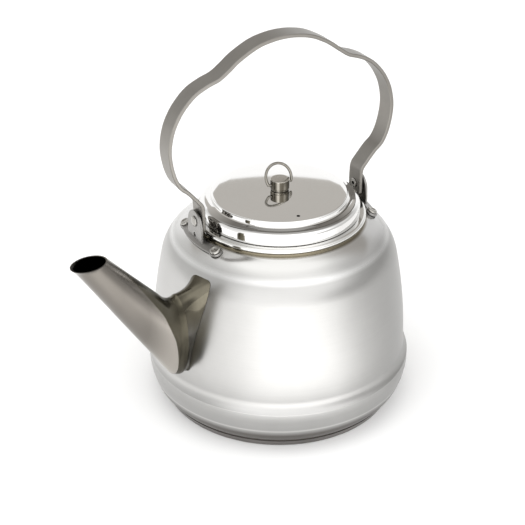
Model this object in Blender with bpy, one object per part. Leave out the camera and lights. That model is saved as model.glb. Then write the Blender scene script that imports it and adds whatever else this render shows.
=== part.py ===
"""A stainless camp tea kettle: turned body, welded spout, lift-off lid and a swinging strap handle.

Metres, +Z up. The origin is the centre of the flat underside, on the body's axis. The handle
stands in the XZ plane, and the spout points to -X, turned a little towards -Y.
"""

import math

import bmesh
import bpy
from mathutils import Matrix, Vector

MM = 0.001

# Gaps between pieces
SEAT_GAP = 0.3 * MM
PIN_GAP = 0.25 * MM

# Body, with its radii measured in from the bulge
SHEET = 0.8 * MM
BULGE_RADIUS = 90.0 * MM
BULGE_LOW = 27.0 * MM
BULGE_HIGH = 29.5 * MM
BULGE_ROUNDNESS = 1.65
BASE_RADIUS = BULGE_RADIUS - 8.2 * MM
BASE_FOOT_RADIUS = BASE_RADIUS - 2.2 * MM
BASE_BAND_HEIGHT = 5.5 * MM
BASE_FLOOR = 1.2 * MM
BASE_FLANGE_HEIGHT = 9.5 * MM
WALL_FOOT = 35.0 * MM
WALL_FOOT_RADIUS = BULGE_RADIUS - 3.2 * MM
WALL_BELLY = 1.84 * MM
WALL_TOP = 105.07 * MM
WALL_TOP_RADIUS = BULGE_RADIUS - 10.55 * MM
SHOULDER_CURVE = 33.0 * MM
SHOULDER_SLOPE = math.radians(24.0)
NECK_RADIUS = 56.2 * MM
NECK_FILLET = 1.5 * MM

# Neck ring and lid, with their radii measured from the neck
RING_RADIUS = NECK_RADIUS + 1.4 * MM
RING_BORE = NECK_RADIUS - 5.2 * MM
RING_HEIGHT = 3.6 * MM
RING_SPIGOT_DEPTH = 6.0 * MM
RING_SPIGOT_WALL = 1.2 * MM
LID_RADIUS = NECK_RADIUS - 2.9 * MM
LID_SKIRT_HEIGHT = 5.0 * MM
LID_SHOULDER = 4.0 * MM
LID_LEDGE_RADIUS = LID_RADIUS - 6.5 * MM
LID_LEDGE_RISE = 0.8 * MM
PLATEAU_RADIUS = LID_LEDGE_RADIUS - 1.2 * MM
PLATEAU_STEP = 3.4 * MM
PLATEAU_DOME = 1.2 * MM
GUIDE_DEPTH = 10.0 * MM
GUIDE_CLEARANCE = 0.6 * MM
VENT_RADIUS = 1.2 * MM
VENT_REACH = PLATEAU_RADIUS - 6.9 * MM
VENT_TURN = math.radians(11.0)

# Knob and its ring
KNOB_RADIUS = 6.6 * MM
KNOB_HEIGHT = 7.4 * MM
KNOB_HOLE_HEIGHT = 3.9 * MM
WIRE_RADIUS = 0.95 * MM
WIRE_LOOP_RADIUS = KNOB_RADIUS + 2.7 * MM
WIRE_LOOP_RISE = 4.0 * MM
WIRE_LEAN = math.radians(26.0)
SCREW_RADIUS = 2.0 * MM
SCREW_HEAD_RADIUS = 3.8 * MM
SCREW_HEAD_HEIGHT = 2.2 * MM
SCREW_REACH = 2.6 * MM
WASHER_RADIUS = 5.5 * MM
WASHER_THICKNESS = 0.8 * MM

# Handle
STRAP_WIDTH = 14.0 * MM
STRAP_THICKNESS = 2.4 * MM
STRAP_TAIL = 7.4 * MM
STRAP_CORNER = 2.5 * MM
STRAP_CLEARANCE = 0.2 * MM
PIVOT_HALF_SPAN = RING_RADIUS + STRAP_CLEARANCE + STRAP_THICKNESS / 2
PIVOT_RISE = 13.69 * MM
PIVOT_HOLE_RADIUS = 2.4 * MM
HANDLE_RISE = 116.0 * MM
HANDLE_SPREAD = PIVOT_HALF_SPAN + 22.0 * MM

# Ears
EAR_SHEET = 1.5 * MM
EAR_GAP = 1.0 * MM
EAR_RADIUS = 9.8 * MM
EAR_TOP_DROP = 2.5 * MM
EAR_FOOT_HALF_WIDTH = 10.2 * MM
EAR_STRAP_ANGLE = math.radians(20.5)
EAR_STRAP_SLANT = 3.1 * MM
EAR_LOBE_RADIUS = 4.3 * MM
DOME_SAG = 0.3 * MM
PEEP_HOLE_RADIUS = 1.6 * MM
PEEP_HOLE_DROP = 9.6 * MM
RIVET_SHANK = 1.9 * MM
RIVET_HEAD_RADIUS = 3.5 * MM
RIVET_HEAD_HEIGHT = 1.4 * MM
PIVOT_HEAD_RADIUS = 3.6 * MM
PIVOT_HEAD_HEIGHT = 1.2 * MM
PIVOT_BORE = 1.3 * MM
PIVOT_ROLL_RADIUS = 3.3 * MM
PIVOT_ROLL_HEIGHT = 0.6 * MM
PIVOT_WASHER_RADIUS = 5.2 * MM
PIVOT_WASHER_THICKNESS = 0.4 * MM

# Spout, measured outwards from the body's axis and upwards
SPOUT_TURN = math.radians(18.0)
SPOUT_SHEET = 1.0 * MM
SEAM_REACH = BULGE_RADIUS + 5.5 * MM
SEAM_LOW = WALL_FOOT + 15.5 * MM
SEAM_HIGH = WALL_TOP + 4.9 * MM
SEAM_HALF_WIDTH = 11.2 * MM
THROAT_TOP = (SEAM_REACH + 11.0 * MM, SEAM_HIGH + 3.0 * MM)
THROAT_BOTTOM = (SEAM_REACH + 7.5 * MM, SEAM_LOW + 4.5 * MM)
MOUTH_HEIGHT = SEAM_HIGH + 49.0 * MM
MOUTH_INNER = SEAM_REACH + 54.5 * MM
MOUTH_OUTER = SEAM_REACH + 78.0 * MM
MOUTH_HALF_WIDTH = 8.6 * MM
COLLAR_LOW = SEAM_LOW - 2.5 * MM
COLLAR_HIGH = WALL_TOP + 10.4 * MM
COLLAR_TOP_HALF_WIDTH = 12.0 * MM
COLLAR_LOW_HALF_WIDTH = 1.2 * MM
COLLAR_TOP_SHIFT = -3.5 * MM
COLLAR_FLARE = 1.35
COLLAR_SAG = 2.2
COLLAR_GAP = 0.5 * MM
STRAINER_HOLE_RADIUS = 2.0 * MM
STRAINER_PITCH = 6.4 * MM
STRAINER_ROWS = ((0,), (0,), (-0.5, 0.5), (0,), (-0.5, 0.5), (0,))

# Facets
BODY_STEPS = 52
LID_STEPS = 40
SMALL_STEPS = 14
SPOUT_STEPS = 22
ARC_STEP = math.radians(22.5)
CURVE_STEP = math.radians(6.8)


def clear_scene():
    for item in list(bpy.data.objects):
        bpy.data.objects.remove(item, do_unlink=True)


def steel(name, colour, roughness):
    material = bpy.data.materials.new(name)
    material.use_nodes = True
    shader = material.node_tree.nodes["Principled BSDF"]
    shader.inputs["Base Color"].default_value = (*colour, 1.0)
    shader.inputs["Metallic"].default_value = 1.0
    shader.inputs["Roughness"].default_value = roughness
    return material


def finish(bm, name, material, weld=1e-6):
    """Make an object of a mesh under construction: welded, facing outwards and shaded smooth."""
    bmesh.ops.remove_doubles(bm, verts=bm.verts, dist=weld)
    bmesh.ops.recalc_face_normals(bm, faces=bm.faces)
    mesh = bpy.data.meshes.new(name)
    bm.to_mesh(mesh)
    bm.free()
    mesh.shade_smooth()
    mesh.set_sharp_from_angle(angle=math.radians(35.0))
    mesh.materials.append(material)
    piece = bpy.data.objects.new(name, mesh)
    bpy.context.scene.collection.objects.link(piece)
    return piece


def arc(centre_r, centre_z, radius, start, end, step=ARC_STEP):
    """Points of an arc in the (radius, height) plane, from one angle to another in degrees."""
    steps = max(2, math.ceil(abs(math.radians(end - start)) / step))
    angles = [math.radians(start + (end - start) * i / steps) for i in range(steps + 1)]
    return [(centre_r + radius * math.cos(a), centre_z + radius * math.sin(a)) for a in angles]


def turned(name, outline, material, steps):
    """Spin a closed outline of (radius, height) points about Z."""
    bm = bmesh.new()
    verts = [bm.verts.new((r, 0.0, z)) for r, z in outline]
    edges = [bm.edges.new((a, b)) for a, b in zip(verts, verts[1:] + verts[:1])
             if a.co.x > 0.0 or b.co.x > 0.0]
    bmesh.ops.spin(bm, geom=verts + edges, axis=(0, 0, 1), cent=(0, 0, 0),
                   angle=math.tau, steps=steps, use_merge=True)
    return finish(bm, name, material)


def offset_outline(points, distance):
    """The same open outline moved sideways, to the left of its direction."""
    moved = []
    for i, point in enumerate(points):
        before = points[max(i - 1, 0)]
        after = points[min(i + 1, len(points) - 1)]
        along = Vector((after[0] - before[0], after[1] - before[1])).normalized()
        moved.append((point[0] - along.y * distance, point[1] + along.x * distance))
    return moved


def sheet_outline(points, thickness):
    """A closed outline of sheet metal whose outer face follows the given points."""
    return points + offset_outline(points, thickness)[::-1]


def loft(bm, rings, close_ends=True):
    """Skin a row of closed rings that all have the same number of points."""
    loops = [[bm.verts.new(p) for p in ring] for ring in rings]
    for low, high in zip(loops, loops[1:]):
        for i in range(len(low)):
            j = (i + 1) % len(low)
            bm.faces.new((low[i], low[j], high[j], high[i]))
    if close_ends:
        bm.faces.new(loops[0][::-1])
        bm.faces.new(loops[-1])
    return loops


def shell_between(name, outer_rings, inner_rings, material):
    """A tube wall: an outer and an inner skin joined by a rim at each end."""
    bm = bmesh.new()
    loft(bm, outer_rings + inner_rings[::-1] + outer_rings[:1], close_ends=False)
    return finish(bm, name, material)


def boolean(piece, cutter, operation):
    """Cut or join with another object, and keep the other one only as a guide."""
    change = piece.modifiers.new(cutter.name, "BOOLEAN")
    change.operation = operation
    change.object = cutter
    cutter.hide_render = True
    cutter.display_type = "WIRE"


def rod(name, start, end, radius, steps=SMALL_STEPS):
    """A plain round bar between two points."""
    start = Vector(start)
    end = Vector(end)
    bm = bmesh.new()
    bmesh.ops.create_cone(bm, cap_ends=True, segments=steps, radius1=radius, radius2=radius,
                          depth=(end - start).length)
    turn = Vector((0, 0, 1)).rotation_difference(end - start).to_matrix().to_4x4()
    bm.transform(Matrix.Translation((start + end) / 2) @ turn)
    return finish(bm, name, guide_material)


def place_on_axis(piece, where, direction):
    """Move a turned piece so that its Z axis points along a direction from a place."""
    turn = Vector((0, 0, 1)).rotation_difference(Vector(direction)).to_matrix().to_4x4()
    piece.data.transform(Matrix.Translation(Vector(where)) @ turn)


def shoulder_start():
    """Centre of the domed shoulder's arc, and where the straight slope to the neck begins."""
    lean = wall_lean()
    centre_r = WALL_TOP_RADIUS - SHOULDER_CURVE * math.cos(lean)
    centre_z = WALL_TOP - SHOULDER_CURVE * math.sin(lean)
    normal = math.pi / 2 - SHOULDER_SLOPE
    return (centre_r, centre_z, centre_r + SHOULDER_CURVE * math.cos(normal),
            centre_z + SHOULDER_CURVE * math.sin(normal))


def wall_radius(z):
    """Outer radius of the bellied wall at a height."""
    share = (z - WALL_FOOT) / (WALL_TOP - WALL_FOOT)
    straight = WALL_FOOT_RADIUS + (WALL_TOP_RADIUS - WALL_FOOT_RADIUS) * share
    return straight + WALL_BELLY * 4 * share * (1 - share)


def wall_lean():
    """How far the wall leans in at its top, from upright."""
    slope = (WALL_FOOT_RADIUS - WALL_TOP_RADIUS + 4 * WALL_BELLY) / (WALL_TOP - WALL_FOOT)
    return math.atan(slope)


def shoulder_height(r):
    """Height of the straight slope at a radius."""
    _, _, start_r, start_z = shoulder_start()
    return start_z + (start_r - r) * math.tan(SHOULDER_SLOPE)


def body_radius(z):
    """Outer radius of wall, dome or slope at a height above the bulge."""
    centre_r, centre_z, start_r, start_z = shoulder_start()
    if z <= WALL_TOP:
        return wall_radius(max(z, WALL_FOOT))
    if z <= start_z:
        return centre_r + math.sqrt(SHOULDER_CURVE ** 2 - (z - centre_z) ** 2)
    return start_r - (z - start_z) / math.tan(SHOULDER_SLOPE)


def neck_join():
    """Start, centre and top of the fillet that turns the slope up into the neck."""
    normal = Vector((math.sin(SHOULDER_SLOPE), math.cos(SHOULDER_SLOPE)))
    centre_r = NECK_RADIUS + NECK_FILLET
    start_r = centre_r - NECK_FILLET * normal.x
    start_z = shoulder_height(start_r)
    return start_r, start_z, centre_r, start_z + NECK_FILLET * normal.y


def neck_top():
    return neck_join()[3] + 0.2 * MM


def body_outline():
    """The body's outer face from its bottom edge up to the neck."""
    low = BASE_BAND_HEIGHT + SEAT_GAP
    rise = BULGE_LOW - low - 1.0 * MM
    spread = BULGE_RADIUS - BASE_RADIUS
    points = [(BASE_RADIUS, low)]
    power = 2 / BULGE_ROUNDNESS
    points += [(BASE_RADIUS + spread * math.sin(math.radians(a)) ** power,
                low + 1.0 * MM + rise * (1 - math.cos(math.radians(a)) ** power)) for a in range(0, 91, 15)]
    points.append((BULGE_RADIUS, BULGE_HIGH))
    step = BULGE_RADIUS - WALL_FOOT_RADIUS
    points += [(BULGE_RADIUS - step * (1 - math.cos(math.radians(a))),
                BULGE_HIGH + (WALL_FOOT - BULGE_HIGH) * math.sin(math.radians(a))) for a in (30, 60, 85)]
    heights = [WALL_FOOT + 0.8 * MM + (WALL_TOP - WALL_FOOT - 0.8 * MM) * i / 7 for i in range(8)]
    points += [(wall_radius(z), z) for z in heights]
    centre_r, centre_z, _, _ = shoulder_start()
    lean = math.degrees(wall_lean())
    points += arc(centre_r, centre_z, SHOULDER_CURVE, lean, 90 - math.degrees(SHOULDER_SLOPE), CURVE_STEP)[1:]
    start_r, _, fillet_r, fillet_z = neck_join()
    points.append((start_r + 2 * MM, shoulder_height(start_r + 2 * MM)))
    points += arc(fillet_r, fillet_z, NECK_FILLET, 270 - math.degrees(SHOULDER_SLOPE), 180)
    points.append((NECK_RADIUS, neck_top()))
    return points


def make_body():
    body = turned("body_shell", sheet_outline(body_outline(), SHEET), satin, BODY_STEPS)
    outwards = spout_point(1.0, 0.0, 0.0) - spout_point(0.0, 0.0, 0.0)
    for row, columns in enumerate(STRAINER_ROWS):
        z = WALL_TOP + 0.9 * MM - STRAINER_PITCH * (len(STRAINER_ROWS) - 1 - row)
        shift = COLLAR_TOP_SHIFT * (z - COLLAR_LOW) / (COLLAR_HIGH - COLLAR_LOW)
        for column in columns:
            middle = spout_point(body_radius(z) - SHEET / 2, shift + column * STRAINER_PITCH, z)
            reach = outwards * 5 * MM
            boolean(body, rod("strainer_cutter", middle - reach, middle + reach,
                              STRAINER_HOLE_RADIUS), "DIFFERENCE")
    for side in (-1, 1):
        for end in (-1, 1):
            where, normal = foot_rivet_place(side, end)
            boolean(body, rod("rivet_cutter", where - normal * 4 * MM, where + normal * 4 * MM,
                              RIVET_SHANK + PIN_GAP), "DIFFERENCE")
    return body


def make_base():
    inner = BASE_RADIUS - SHEET - SEAT_GAP
    outline = [
        (0.0, 0.0),
        (BASE_FOOT_RADIUS - 0.8 * MM, 0.0),
        (BASE_FOOT_RADIUS, 0.8 * MM),
        (BASE_RADIUS, BASE_BAND_HEIGHT),
        (inner, BASE_BAND_HEIGHT),
        (inner, BASE_FLANGE_HEIGHT),
        (inner - SHEET, BASE_FLANGE_HEIGHT),
        (inner - SHEET, BASE_FLOOR + 1.5 * MM),
        (inner - SHEET - 1.5 * MM, BASE_FLOOR),
        (0.0, BASE_FLOOR),
    ]
    return turned("base_pan", outline, satin, BODY_STEPS)


def ring_low():
    return neck_top() + SEAT_GAP


def ring_top():
    return ring_low() + RING_HEIGHT


def make_neck_ring():
    half = RING_HEIGHT / 2
    spigot = NECK_RADIUS - SHEET - SEAT_GAP
    outline = [(RING_BORE, ring_top()), (RING_RADIUS - half, ring_top())]
    outline += arc(RING_RADIUS - half, ring_low() + half, half, 90, -90)[1:]
    outline += [
        (spigot, ring_low()),
        (spigot, ring_low() - RING_SPIGOT_DEPTH),
        (spigot - RING_SPIGOT_WALL, ring_low() - RING_SPIGOT_DEPTH),
        (spigot - RING_SPIGOT_WALL, ring_low() + RING_SPIGOT_WALL),
        (RING_BORE, ring_low() + RING_SPIGOT_WALL),
    ]
    return turned("neck_ring", outline[::-1], polished, LID_STEPS)


def lid_edge():
    return ring_top() + SEAT_GAP


def ledge_height():
    return lid_edge() + LID_SKIRT_HEIGHT + LID_SHOULDER


def plateau_edge():
    return ledge_height() + LID_LEDGE_RISE + PLATEAU_STEP


def lid_top():
    """Height of the lid's outer face on its axis."""
    return plateau_edge() + PLATEAU_DOME


def lid_outline():
    """The lid's outer face from its rim to its middle."""
    points = [(LID_RADIUS, lid_edge())]
    points += arc(LID_RADIUS - LID_SHOULDER, ledge_height() - LID_SHOULDER, LID_SHOULDER, 0, 80)
    points.append((LID_LEDGE_RADIUS, ledge_height() + LID_LEDGE_RISE))
    radius = 1.6 * MM
    points.append((PLATEAU_RADIUS, ledge_height() + LID_LEDGE_RISE + 0.8 * MM))
    points += arc(PLATEAU_RADIUS - radius, plateau_edge() - radius, radius, 8, 80)
    points += [(PLATEAU_RADIUS * share, plateau_edge() + PLATEAU_DOME * (1 - share ** 2))
               for share in (0.72, 0.4, 0.16)]
    points.append((SCREW_RADIUS + PIN_GAP, lid_top()))
    return points


def make_lid():
    lid = turned("lid_cover", sheet_outline(lid_outline(), SHEET), polished, LID_STEPS)
    x = -VENT_REACH * math.sin(VENT_TURN)
    y = -VENT_REACH * math.cos(VENT_TURN)
    boolean(lid, rod("vent_cutter", (x, y, lid_edge()), (x, y, lid_top() + 5 * MM), VENT_RADIUS),
            "DIFFERENCE")
    return lid


def make_lid_guide():
    """The upright ring inside the lid that drops into the neck."""
    outer = RING_BORE - GUIDE_CLEARANCE
    top = ledge_height() - SHEET - 1.2 * MM
    low = ring_top() - GUIDE_DEPTH
    outline = [(outer, low), (outer, top - 1.2 * MM), (outer - 1.2 * MM, top),
               (outer - 5.0 * MM, top), (outer - 5.0 * MM, top - SHEET), (outer - 1.4 * MM, top - SHEET),
               (outer - SHEET, top - 1.5 * MM), (outer - SHEET, low)]
    return turned("lid_guide", outline, satin, LID_STEPS)


def knob_base():
    return lid_top() + SEAT_GAP


def make_knob():
    waist = KNOB_RADIUS - 0.5 * MM
    top = knob_base() + KNOB_HEIGHT
    bore = SCREW_RADIUS + PIN_GAP
    outline = [
        (bore, knob_base()),
        (waist, knob_base()),
        (waist, knob_base() + 1.0 * MM),
        (KNOB_RADIUS, knob_base() + 1.6 * MM),
        (KNOB_RADIUS, top - 0.6 * MM),
        (KNOB_RADIUS - 0.6 * MM, top),
        (0.0, top),
        (0.0, knob_base() + SCREW_REACH),
        (bore, knob_base() + SCREW_REACH),
    ]
    knob = turned("lid_knob", outline, polished, 32)
    z = knob_base() + KNOB_HOLE_HEIGHT
    for side in (-1, 1):
        boolean(knob, rod("wire_cutter", (side * KNOB_RADIUS * 2, 0, z),
                          (side * (KNOB_RADIUS - 2.6 * MM), 0, z), WIRE_RADIUS + PIN_GAP, 12),
                "DIFFERENCE")
    return knob


def make_knob_screw():
    under = lid_top() - SHEET - WASHER_THICKNESS - 2 * SEAT_GAP
    tip = knob_base() + SCREW_REACH - SEAT_GAP
    outline = [
        (0.0, under - SCREW_HEAD_HEIGHT),
        (SCREW_HEAD_RADIUS - 1.2 * MM, under - SCREW_HEAD_HEIGHT),
        (SCREW_HEAD_RADIUS, under - SCREW_HEAD_HEIGHT + 1.2 * MM),
        (SCREW_HEAD_RADIUS, under),
        (SCREW_RADIUS, under),
        (SCREW_RADIUS, tip),
        (0.0, tip),
    ]
    return turned("knob_screw", outline, satin, SMALL_STEPS)


def make_knob_washer():
    top = lid_top() - SHEET - SEAT_GAP
    outline = [
        (SCREW_RADIUS + PIN_GAP, top - WASHER_THICKNESS),
        (WASHER_RADIUS, top - WASHER_THICKNESS),
        (WASHER_RADIUS, top),
        (SCREW_RADIUS + PIN_GAP, top),
    ]
    return turned("knob_washer", outline, satin, SMALL_STEPS)


def wire_axis():
    return knob_base() + KNOB_HOLE_HEIGHT


def make_lid_ring():
    """The wire ring: two short ends in the knob's holes, joined by a round loop that leans to +Y."""
    end = KNOB_RADIUS - 2.2 * MM
    start = math.acos(WIRE_LOOP_RISE / WIRE_LOOP_RADIUS)
    hook = WIRE_LOOP_RADIUS * math.sin(start)
    turns = 14
    loop = []
    for i in range(turns + 1):
        angle = start + (math.tau - 2 * start) * i / turns
        up = WIRE_LOOP_RISE - WIRE_LOOP_RADIUS * math.cos(angle)
        loop.append((-WIRE_LOOP_RADIUS * math.sin(angle), up * math.sin(WIRE_LEAN),
                     up * math.cos(WIRE_LEAN)))
    path = [(-end, 0, 0), (-hook + 0.6 * MM, 0, 0)] + loop + [(hook - 0.6 * MM, 0, 0), (end, 0, 0)]
    curve = bpy.data.curves.new("lid_ring", "CURVE")
    curve.dimensions = "3D"
    spline = curve.splines.new("POLY")
    spline.points.add(len(path) - 1)
    for point, place in zip(spline.points, path):
        point.co = (*place, 1.0)
    curve.bevel_depth = WIRE_RADIUS
    curve.bevel_resolution = 2
    curve.use_fill_caps = True
    curve.materials.append(polished)
    piece = bpy.data.objects.new("lid_ring", curve)
    piece.location.z = wire_axis()
    bpy.context.scene.collection.objects.link(piece)
    return piece


# Half of the handle's middle line. Across: 0 is the pivot, 1 the widest place and the middle is
# given as a share of the half width. Up: 0 is the pivot and 1 the top.
HANDLE_LEG = ((0.0, 0.05), (0.03, 0.105), (0.18, 0.145), (0.45, 0.205), (0.72, 0.255))
HANDLE_ARCH = ((0.975, 0.34), (1.0, 0.46), (0.975, 0.57), (0.92, 0.655), (0.85, 0.72), (0.77, 0.77),
               (0.67, 0.805), (0.57, 0.83), (0.485, 0.87), (0.40, 0.915), (0.25, 0.97), (0.12, 0.993))


def smooth_path(points, steps):
    """A Catmull-Rom curve through points."""
    path = []
    for i in range(len(points) - 1):
        before = points[max(i - 1, 0)]
        after = points[min(i + 2, len(points) - 1)]
        for k in range(steps):
            t = k / steps
            path.append(0.5 * ((2 * points[i]) + (points[i + 1] - before) * t
                               + (2 * before - 5 * points[i] + 4 * points[i + 1] - after) * t ** 2
                               + (3 * points[i] - before - 3 * points[i + 1] + after) * t ** 3))
    path.append(points[-1])
    return path


def handle_line():
    """The strap's middle line in the XZ plane, above its pivots, from the spout side to the other."""
    half = [Vector((PIVOT_HALF_SPAN, -STRAP_TAIL)), Vector((PIVOT_HALF_SPAN, 0.0))]
    for across, up in HANDLE_LEG:
        half.append(Vector((PIVOT_HALF_SPAN + (HANDLE_SPREAD - PIVOT_HALF_SPAN) * across,
                            HANDLE_RISE * up)))
    for across, up in HANDLE_ARCH:
        half.append(Vector((HANDLE_SPREAD * across, HANDLE_RISE * up)))
    top = Vector((0.0, HANDLE_RISE))
    mirrored = [Vector((-p.x, p.y)) for p in half]
    return smooth_path(mirrored + [top] + half[::-1], 3)


def make_handle():
    line = handle_line()
    rings = []
    for i, point in enumerate(line):
        along = (line[min(i + 1, len(line) - 1)] - line[max(i - 1, 0)]).normalized()
        side = Vector((-along.y, along.x)) * STRAP_THICKNESS / 2
        width = STRAP_WIDTH / 2
        if i in (0, len(line) - 1):
            width -= STRAP_CORNER
        rings.append([(point.x + s * side.x, y * width, point.y + s * side.y)
                      for s, y in ((-1, -1), (1, -1), (1, 1), (-1, 1))])
    bm = bmesh.new()
    loft(bm, rings)
    handle = finish(bm, "handle_strap", brushed)
    handle.location.z = pivot_height()
    reach = PIVOT_HALF_SPAN + 4 * MM
    for side in (-1, 1):
        boolean(handle, rod("pivot_cutter", (side * (PIVOT_HALF_SPAN - 4 * MM), 0, pivot_height()),
                            (side * reach, 0, pivot_height()), PIVOT_HOLE_RADIUS), "DIFFERENCE")
    return handle


def ear_inner():
    """Distance from the axis to the ear's inner face."""
    return PIVOT_HALF_SPAN + STRAP_THICKNESS / 2 + EAR_GAP


def ear_foot_radius():
    return ear_inner() + EAR_SHEET / 2


def pivot_height():
    return shoulder_height(ear_foot_radius()) + PIVOT_RISE


def slope_point(azimuth, slant, lift):
    """A point near the slope: azimuth from +X, slant distance down from the ear's foot, and lift
    above the slope's face."""
    radius = ear_foot_radius() + slant * math.cos(SHOULDER_SLOPE) + lift * math.sin(SHOULDER_SLOPE)
    height = (shoulder_height(ear_foot_radius()) - slant * math.sin(SHOULDER_SLOPE)
              + lift * math.cos(SHOULDER_SLOPE))
    return Vector((radius * math.cos(azimuth), radius * math.sin(azimuth), height))


def foot_rivet_place(side, end):
    """Centre of a foot rivet on the slope's face, and the direction that it points in."""
    azimuth = end * EAR_STRAP_ANGLE + (math.pi if side < 0 else 0.0)
    where = slope_point(azimuth, 0.0, 0.0)
    return where, (slope_point(azimuth, 0.0, 1.0) - where).normalized()


def make_ear(name, side):
    """An upright plate with a round top on a curved strap that lies on the slope."""
    turn = math.pi if side < 0 else 0.0
    lobe = EAR_LOBE_RADIUS / ear_foot_radius()
    limit = EAR_STRAP_ANGLE + lobe * 0.96
    steps = 30
    rings = []
    for i in range(steps + 1):
        azimuth = -limit + 2 * limit * i / steps
        from_lobe = (abs(azimuth) - EAR_STRAP_ANGLE) * ear_foot_radius()
        lobe_half = math.sqrt(max(EAR_LOBE_RADIUS ** 2 - from_lobe ** 2, 0.0))
        half = lobe_half if abs(azimuth) > EAR_STRAP_ANGLE else max(EAR_STRAP_SLANT, lobe_half)
        rings.append([slope_point(azimuth + turn, slant * half, lift)
                      for slant, lift in ((-1, SEAT_GAP), (1, SEAT_GAP), (1, SEAT_GAP + EAR_SHEET),
                                          (-1, SEAT_GAP + EAR_SHEET))])
    bm = bmesh.new()
    loft(bm, rings)
    ear = finish(bm, name, brushed)

    top = [(EAR_RADIUS * math.sin(a), pivot_height() - EAR_TOP_DROP + EAR_RADIUS * math.cos(a))
           for a in (math.pi / 2 * i / 6 for i in range(-6, 7))]
    foot = shoulder_height(ear_foot_radius()) + SEAT_GAP + EAR_SHEET * 0.6
    outline = top + [(EAR_FOOT_HALF_WIDTH, foot + 3 * MM), (EAR_FOOT_HALF_WIDTH, foot),
                     (-EAR_FOOT_HALF_WIDTH, foot), (-EAR_FOOT_HALF_WIDTH, foot + 3 * MM)]
    near = side * ear_inner()
    far = side * (ear_inner() + EAR_SHEET)
    bm = bmesh.new()
    loft(bm, [[(x, y, z) for y, z in outline] for x in (near, far)])
    plate = finish(bm, name + "_plate", brushed)
    boolean(ear, plate, "UNION")

    for end in (-1, 1):
        where, normal = foot_rivet_place(side, end)
        boolean(ear, rod("rivet_cutter", where - normal * 4 * MM, where + normal * 4 * MM,
                         RIVET_SHANK + PIN_GAP), "DIFFERENCE")
    for drop, radius in ((0.0, PIVOT_HOLE_RADIUS), (PEEP_HOLE_DROP, PEEP_HOLE_RADIUS)):
        z = pivot_height() - drop
        boolean(ear, rod("ear_cutter", (side * (ear_inner() - 2 * MM), 0, z),
                         (side * (ear_inner() + EAR_SHEET + 2 * MM), 0, z), radius), "DIFFERENCE")
    return ear


def dome(radius, height, base):
    """Points of a low dome over a flat base, from its rim to the axis."""
    return [(radius * math.cos(a), base + height * math.sin(a))
            for a in (math.radians(angle) for angle in (0, 25, 50, 72))] + [(0.0, base + height)]


def make_foot_rivet(name, side, end):
    outside = SEAT_GAP + EAR_SHEET + SEAT_GAP
    inside = -SHEET - SEAT_GAP - DOME_SAG
    outline = [(0.0, inside - 0.9 * MM), (RIVET_HEAD_RADIUS * 0.9, inside - 0.9 * MM),
               (RIVET_HEAD_RADIUS * 0.9, inside), (RIVET_SHANK, inside), (RIVET_SHANK, outside)]
    outline += dome(RIVET_HEAD_RADIUS, RIVET_HEAD_HEIGHT, outside)
    rivet = turned(name, outline, polished, SMALL_STEPS)
    where, normal = foot_rivet_place(side, end)
    place_on_axis(rivet, where, normal)
    return rivet


def make_pivot_rivet(name, side):
    """A tubular rivet: domed head outside the ear, rolled end inside the strap, open bore."""
    outside = ear_inner() + EAR_SHEET + SEAT_GAP
    inside = PIVOT_HALF_SPAN - STRAP_THICKNESS / 2 - SEAT_GAP
    shank = PIVOT_HOLE_RADIUS - PIN_GAP
    outline = [
        (PIVOT_BORE, outside - 0.8 * MM),
        (PIVOT_BORE, inside - PIVOT_ROLL_HEIGHT),
        (PIVOT_ROLL_RADIUS - 0.3 * MM, inside - PIVOT_ROLL_HEIGHT),
        (PIVOT_ROLL_RADIUS, inside - PIVOT_ROLL_HEIGHT / 2),
        (PIVOT_ROLL_RADIUS, inside),
        (shank, inside),
        (shank, outside),
    ]
    outline += dome(PIVOT_HEAD_RADIUS, PIVOT_HEAD_HEIGHT, outside)
    outline.append((0.0, outside - 0.8 * MM))
    rivet = turned(name, outline, polished, SMALL_STEPS)
    place_on_axis(rivet, (0, 0, pivot_height()), (side, 0, 0))
    return rivet


def make_pivot_washer(name, side):
    low = PIVOT_HALF_SPAN + STRAP_THICKNESS / 2 + (EAR_GAP - PIVOT_WASHER_THICKNESS) / 2
    outline = [(PIVOT_HOLE_RADIUS, low), (PIVOT_WASHER_RADIUS, low),
               (PIVOT_WASHER_RADIUS, low + PIVOT_WASHER_THICKNESS),
               (PIVOT_HOLE_RADIUS, low + PIVOT_WASHER_THICKNESS)]
    washer = turned(name, outline, brushed, SMALL_STEPS)
    place_on_axis(washer, (0, 0, pivot_height()), (side, 0, 0))
    return washer


def spout_point(reach, across, z):
    """A point by its distance out from the axis along the spout, sideways towards +Y, and height."""
    out = Vector((-math.cos(SPOUT_TURN), -math.sin(SPOUT_TURN), 0.0))
    sideways = Vector((-math.sin(SPOUT_TURN), math.cos(SPOUT_TURN), 0.0))
    return out * reach + sideways * across + Vector((0.0, 0.0, z))


def oval(top, bottom, half_width, inset=0.0):
    """An oval ring through a top and a bottom point of the spout's middle plane."""
    top = Vector(top)
    bottom = Vector(bottom)
    centre = (top + bottom) / 2
    half = (top - bottom) / 2
    half *= (half.length - inset) / half.length
    ring = []
    for i in range(SPOUT_STEPS):
        angle = math.tau * i / SPOUT_STEPS
        place = centre + half * math.cos(angle)
        ring.append(spout_point(place.x, (half_width - inset) * math.sin(angle), place.y))
    return ring


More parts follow.
